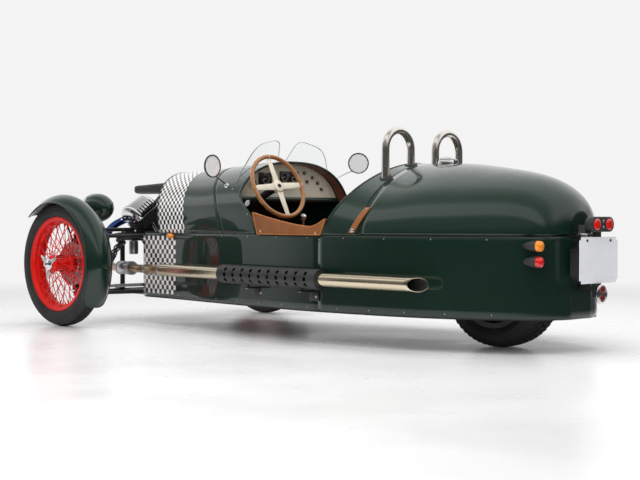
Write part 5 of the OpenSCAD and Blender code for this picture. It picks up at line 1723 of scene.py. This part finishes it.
class CAR_OT_lamps(bpy.types.Operator):
    """Headlamps, marker lamps, tail lamps and blank plate"""

    bl_idname = "car.lamps"
    bl_label = "Lamps"

    bullet_x, bullet_y, bullet_r, arm_y = 0.272, 1.512, 0.025, 1.477
    amber_z, red_z = 0.471, 0.403
    marker_y, marker_z = -0.898, 0.494
    pod_y, pod_z, pod_r, pod_half = 1.639, 0.564, 0.033, 0.051

    def headlamps(self):
        low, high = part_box("headlamps")
        r = (high.z - low.z) / 2
        centre = Vector((high.x - r, low.y, (low.z + high.z) / 2))
        for name, side in SIDES.items():
            turn = mirrored(side) @ Matrix.Translation(centre) @ TO_REAR
            bm = bmesh.new()
            long = high.y - low.y
            bowl = [(r - 0.002, 0.020), (r - 0.001, 0.045)]
            bowl += [((r - 0.001) * math.cos(a), 0.045 + (long - 0.045) * math.sin(a)) for a in arc(16, 1)]
            add_lathe(bm, bowl, turn, steps=56)
            piece(f"headlamp_bowl_{name}", bm, "Body Paint", "chassis",
                  "headlamps" if side > 0 else ())
            bm = bmesh.new()
            rim = [(r - 0.010, 0.001), (r - 0.006, 0.0), (r - 0.001, 0.003), (r, 0.010), (r, 0.018),
                   (r - 0.002, 0.022), (r - 0.012, 0.022), (r - 0.012, 0.008)]
            add_lathe(bm, rim, turn, steps=56, closed=True)
            add_lathe(bm, [(r - 0.012, 0.010), (0.6 * r, 0.036), (0.25 * r, 0.050), (0, 0.053)], turn,
                      steps=48)
            bulb = bmesh.new()
            bmesh.ops.create_uvsphere(bulb, u_segments=16, v_segments=8, radius=0.010)
            join(bm, bulb, 0, turn @ Matrix.Translation((0, 0, 0.038)))
            piece(f"headlamp_rim_{name}", bm, "Chrome", "chassis")
            bm = bmesh.new()
            add_lathe(bm, [(r - 0.0115, 0.008), (0.7 * r, 0.0042), (0.35 * r, 0.0015), (0, 0.0010)], turn,
                      steps=48)
            piece(f"headlamp_lens_{name}", bm, "Lamp Glass", "chassis",
                  "headlamp_glass" if side > 0 else (), wall=0.003)

    def bullet(self, bm, lens_bm, at, r):
        """Bullet lamp with its lens towards the rear."""
        turn = Matrix.Translation(at) @ TO_REAR
        add_lathe(bm, [(0, -0.076), (0.30 * r, -0.074), (0.62 * r, -0.060), (0.85 * r, -0.036), (r, -0.006),
                       (r, 0.001), (0.9 * r, 0.001)], turn, steps=32)
        add_lathe(lens_bm, [(0.93 * r, -0.004), (0.95 * r, 0.010), (0.86 * r, 0.019), (0.55 * r, 0.0245),
                            (0, 0.026)], turn, steps=32)

    def execute(self, context):
        self.headlamps()
        housing, amber, red, deep = (bmesh.new() for _ in range(4))
        for side in SIDES.values():
            x, inner = side * self.bullet_x, side * (half_width(self.arm_y) - 0.004)
            for lens_bm, z in ((amber, self.amber_z), (red, self.red_z)):
                self.bullet(housing, lens_bm, (x, self.bullet_y, z), self.bullet_r)
            for z in (self.amber_z, self.red_z):
                add_rod(housing, (inner, self.arm_y, z), (x - side * 0.010, self.arm_y, z), 0.007)
            at = (half_width(self.marker_y) + 0.0005, self.marker_y, self.marker_z)
            turn = mirrored(side) @ axis_matrix(at, (1, -0.13, 0))
            add_lathe(amber, [(0.014, 0.0), (0.0135, 0.010), (0.011, 0.018), (0.006, 0.0225), (0, 0.0235)],
                      turn @ Matrix.Diagonal((1.86, 1, 1, 1)), steps=32)
        part = bmesh.new()
        bmesh.ops.create_cone(part, cap_ends=True, segments=40, radius1=self.pod_r, radius2=self.pod_r,
                              depth=0.042, matrix=Matrix.Rotation(math.pi / 40, 4, "Z"))
        for vert in part.verts:
            vert.co.x += math.copysign(self.pod_half, vert.co.x)
        rims = [e for e in part.edges if abs(e.verts[0].co.z - e.verts[1].co.z) < 0.001]
        bevel_edges(part, rims, 0.004, 3)
        join(housing, part, 0, axis_matrix((0, self.pod_y, self.pod_z), (0, 1, 0)))
        for side in SIDES.values():
            turn = axis_matrix((side * 0.047, self.pod_y + 0.0175, self.pod_z), (0, 1, 0))
            add_lathe(red, [(0.025, -0.002), (0.025, 0.004), (0.021, 0.0072), (0.010, 0.0083), (0, 0.0085)],
                      turn @ Matrix.Diagonal((1.1, 1.0, 1, 1)), steps=36)
        piece("lamp_housings", housing, "Black Plastic", "chassis", "tail_lamps")
        piece("amber_lenses", amber, "Amber Lens", "chassis", "amber_lamps")

        bm = bmesh.new()
        turn = Matrix.Translation((0, 1.6353, 0.262)) @ TO_REAR
        add_lathe(bm, [(0.022, 0.0), (0.030, 0.001), (0.038, 0.008), (0.042, 0.014), (0.042, 0.0175),
                       (0.039, 0.0195), (0, 0.0197)], turn, steps=48)
        for z in (0.552, 0.578):
            add_screw(bm, (0, 1.660, z), (0, 1, 0), 0.005)
        piece("low_lamp_shell", bm, "Chrome", "chassis")
        for z, r in ((0.282, 0.017), (0.244, 0.017)):
            add_lathe(deep, [(r, -0.001), (0.92 * r, 0.003), (0.5 * r, 0.0045), (0, 0.005)],
                      axis_matrix((0, 1.6553, z), (0, 1, 0)), steps=28)
        piece("red_lenses", red, "Red Lens", "chassis", "red_lamps")
        piece("low_lamp_lenses", deep, "Deep Red Lens", "chassis")
        self.plate()
        return {"FINISHED"}

    def plate(self):
        low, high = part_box("number_plate")
        notch = 0.013
        half_x, middle, half_z = high.x, (low.z + high.z) / 2, (high.z - low.z) / 2
        outline = []
        for sx, sz in ((1, 1), (-1, 1), (-1, -1), (1, -1)):
            corner = [(half_x, half_z - notch), (half_x - notch, half_z - notch), (half_x - notch, half_z)]
            outline += [(sx * x, sz * z) for x, z in (corner if sx == sz else reversed(corner))]
        bm = bmesh.new()
        face = bm.faces.new([bm.verts.new((x, low.y, middle + z)) for x, z in outline])
        grown = bmesh.ops.extrude_face_region(bm, geom=[face])["geom"]
        bmesh.ops.translate(bm, vec=(0, high.y - low.y, 0),
                            verts=[v for v in grown if isinstance(v, bmesh.types.BMVert)])
        bmesh.ops.recalc_face_normals(bm, faces=bm.faces)
        piece("blank_plate", bm, "Plate White", "chassis", "number_plate")
        bm = bmesh.new()
        for side in SIDES.values():
            add_screw(bm, (side * 0.089, high.y, 0.494), (0, 1, 0), 0.007)
        piece("plate_screws", bm, "Black Steel", "chassis")


class CAR_OT_underparts(bpy.types.Operator):
    """Finishes of the frame, floor, suspension and other pieces that keep their frame shape"""

    bl_idname = "car.underparts"
    bl_label = "Underparts"

    finishes = {
        "chassis_frame": "Black Steel", "tow_eye": "Black Steel", "floor_pan": "Floor Paint",
        "bulkhead": "Floor Paint", "gearbox": "Cast Alloy", "heat_shields": "Shield Black",
        "wishbones": "Black Steel", "dampers": "Black Steel", "swingarm": "Black Steel",
        "boot_floor": "Floor Paint", "tie_rods": "Brushed Steel", "knuckle_left": "Black Steel",
        "knuckle_right": "Black Steel", "steering_column": "Black Steel", "tail_bracket": "Black Steel",
        "wheel_rear": "Engine Black",
    }

    def execute(self, context):
        for node, finish in self.finishes.items():
            dress(node, finish)
        return {"FINISHED"}


class CAR_OT_stage(bpy.types.Operator):
    """Pale floor, soft studio light and the camera"""

    bl_idname = "car.stage"
    bl_label = "Stage"

    # Camera, solved from the photo
    camera_at = Vector((4.9495, 4.9214, 0.5872))
    azimuth = math.radians(135.284)
    pitch = math.radians(0.898)
    focal_px = 1345.43
    image_px = 640
    # The floor's radius, and where its light fades into the walls
    floor_r = 60
    floor_fade = (3.5, 6.5)
    # Brightness of the walls, the way to their pale side, and how it fades
    backdrop, dark = 0.90, 0.04
    pale_way, pale_span = (-0.45, -0.89, 0.0), (0.1, 0.85)
    fill = 0.62
    # The ceiling's half width, where it starts, and each strip's place and brightness
    ceiling_reach = 1.5
    ceiling_rise = (0.12, 0.40)
    strips = ((0.0, 2.8), (0.25, 2.5), (0.42, 1.0), (0.54, 0.30), (0.62, 0.30), (0.69, 1.9), (0.76, 1.9),
              (0.84, 0.15), (1.0, 0.25))

    def camera(self):
        data = bpy.data.cameras.new("camera")
        data.sensor_width = 36
        data.lens = self.focal_px * data.sensor_width / self.image_px
        camera = bpy.data.objects.new("camera", data)
        camera.location = self.camera_at
        level = math.cos(self.pitch)
        forward = Vector((-math.sin(self.azimuth) * level, math.cos(self.azimuth) * level,
                          -math.sin(self.pitch)))
        camera.rotation_euler = forward.to_track_quat("-Z", "Y").to_euler()
        bpy.context.scene.collection.objects.link(camera)
        bpy.context.scene.camera = camera

    def floor(self):
        """Floor that is lit near the car and takes the walls' brightness far from it."""
        bm = bmesh.new()
        bmesh.ops.create_circle(bm, cap_ends=True, segments=96, radius=self.floor_r)
        mesh = bpy.data.meshes.new("floor")
        bm.to_mesh(mesh)
        bm.free()
        floor = bpy.data.objects.new("floor", mesh)
        bpy.context.scene.collection.objects.link(floor)
        finish = Finish("Studio Floor", tuple(colours().floor), 0.28, Specular_IOR_Level=0.35)
        finish.uneven(1.2, 0.22, 0.34)
        tree = finish.tree
        place = object_coordinates(tree)
        glossy = add_node(tree, "LightPath").outputs["Is Glossy Ray"]
        far = vector_maths(tree, "LENGTH", place, output="Value")
        fade = span(tree, maths(tree, "MULTIPLY_ADD", far, glossy, far), *self.floor_fade, kind="SMOOTHSTEP")
        room = self.reflected(tree, glossy, self.walls(tree, vector_maths(tree, "NORMALIZE", place)))
        plain = add_node(tree, "Emission", {"Color": room, "Strength": 1.0})
        shaders = {0: fade, 1: finish.shader.outputs["BSDF"], 2: plain.outputs["Emission"]}
        blend = add_node(tree, "MixShader", shaders)
        tree.links.new(blend.outputs["Shader"], tree.nodes["Material Output"].inputs["Surface"])
        mesh.materials.append(finish.material)

    def reflected(self, tree, glossy, room):
        """The room as the paint mirrors it; seen directly, the stage is plain from every side."""
        return blend_colours(tree, glossy, (self.backdrop, self.backdrop, self.backdrop, 1), room)

    def walls(self, tree, place):
        """Brightness of the room in a direction: pale behind the car, dark behind the camera."""
        facing = vector_maths(tree, "DOT_PRODUCT", place, self.pale_way, output="Value")
        return span(tree, facing, *self.pale_span, self.dark, self.backdrop)

    def ceiling(self, tree, place, walls):
        """Lengthwise soft strips over the car, blended into the walls towards the horizon."""
        parts = add_node(tree, "SeparateXYZ", {"Vector": place}).outputs
        across = maths(tree, "DIVIDE", parts["X"], maths(tree, "MAXIMUM", parts["Z"], 0.05))
        share = span(tree, across, -self.ceiling_reach, self.ceiling_reach)
        ramp = add_node(tree, "ValToRGB", {"Fac": share})
        ramp.color_ramp.interpolation = "B_SPLINE"
        for i, (at, value) in enumerate(self.strips):
            stop = ramp.color_ramp.elements[i] if i < 2 else ramp.color_ramp.elements.new(at)
            stop.position = at
            stop.color = (value, value, value, 1)
        height = span(tree, parts["Z"], *self.ceiling_rise, kind="SMOOTHSTEP")
        return blend_colours(tree, height, walls, ramp.outputs["Color"])

    def world(self):
        """Room that is seen directly or mirrored, and an even fill for all other light."""
        world = bpy.data.worlds.new("studio")
        bpy.context.scene.world = world
        world.use_nodes = True
        tree = world.node_tree
        tree.nodes.clear()
        paths = add_node(tree, "LightPath").outputs
        glossy = paths["Is Glossy Ray"]
        others = maths(tree, "MAXIMUM", glossy, paths["Is Transmission Ray"])
        seen = maths(tree, "MAXIMUM", paths["Is Camera Ray"], others)
        place = add_node(tree, "TexCoord").outputs["Generated"]
        room = self.ceiling(tree, place, self.walls(tree, place))
        view = add_node(tree, "Background", {"Color": self.reflected(tree, glossy, room)})
        light = add_node(tree, "Background", {"Strength": self.fill})
        blend = add_node(tree, "MixShader", {0: seen, 1: light.outputs[0], 2: view.outputs[0]})
        add_node(tree, "OutputWorld", {"Surface": blend.outputs[0]})

    def lights(self):
        rows = (
            ("overhead", (0.3, 0.2, 4.2), (0, 0, 0), 4.0, 7.0, 230),
            ("near_side", (3.6, 2.6, 2.8), (0, 0.4, 0.5), 2.0, 5.0, 80),
        )
        for name, at, target, width, length, power in rows:
            data = bpy.data.lights.new(name, "AREA")
            data.shape = "RECTANGLE"
            data.size, data.size_y = width, length
            data.energy = power
            lamp = bpy.data.objects.new(name, data)
            lamp.location = at
            lamp.visible_glossy = False
            lamp.rotation_euler = (Vector(target) - Vector(at)).to_track_quat("-Z", "Y").to_euler()
            bpy.context.scene.collection.objects.link(lamp)

    def execute(self, context):
        context.scene.view_settings.view_transform = "Standard"
        self.camera()
        self.floor()
        self.world()
        self.lights()
        return {"FINISHED"}


STEPS = (
    CAR_OT_stage, CAR_OT_side_panels, CAR_OT_upper_panels, CAR_OT_tail, CAR_OT_tyres, CAR_OT_wire_wheels,
    CAR_OT_wings, CAR_OT_engine, CAR_OT_exhausts, CAR_OT_steering_wheel, CAR_OT_dashboard, CAR_OT_leather,
    CAR_OT_cockpit_trim, CAR_OT_lamps, CAR_OT_underparts,
)


class CAR_PT_build(bpy.types.Panel):
    """Lists the car's pieces in the sidebar"""

    bl_idname = "CAR_PT_build"
    bl_label = "Three-Wheeler"
    bl_space_type = "VIEW_3D"
    bl_region_type = "UI"
    bl_category = "Three-Wheeler"

    def draw(self, context):
        for group in (context.scene.car_sizes, context.scene.car_colours):
            for key in group.__annotations__:
                self.layout.prop(group, key)
        for step in STEPS:
            self.layout.operator(step.bl_idname)


CLASSES = (CarColours, CarSizes, *STEPS, CAR_PT_build)


def register():
    for cls in CLASSES:
        bpy.utils.register_class(cls)
    bpy.types.Scene.car_colours = bpy.props.PointerProperty(type=CarColours)
    bpy.types.Scene.car_sizes = bpy.props.PointerProperty(type=CarSizes)


def unregister():
    del bpy.types.Scene.car_colours
    del bpy.types.Scene.car_sizes
    for cls in reversed(CLASSES):
        bpy.utils.unregister_class(cls)


def main():
    register()
    make_finishes()
    for step in STEPS:
        area, name = step.bl_idname.split(".")
        getattr(getattr(bpy.ops, area), name)()


if __name__ == "__main__":
    main()
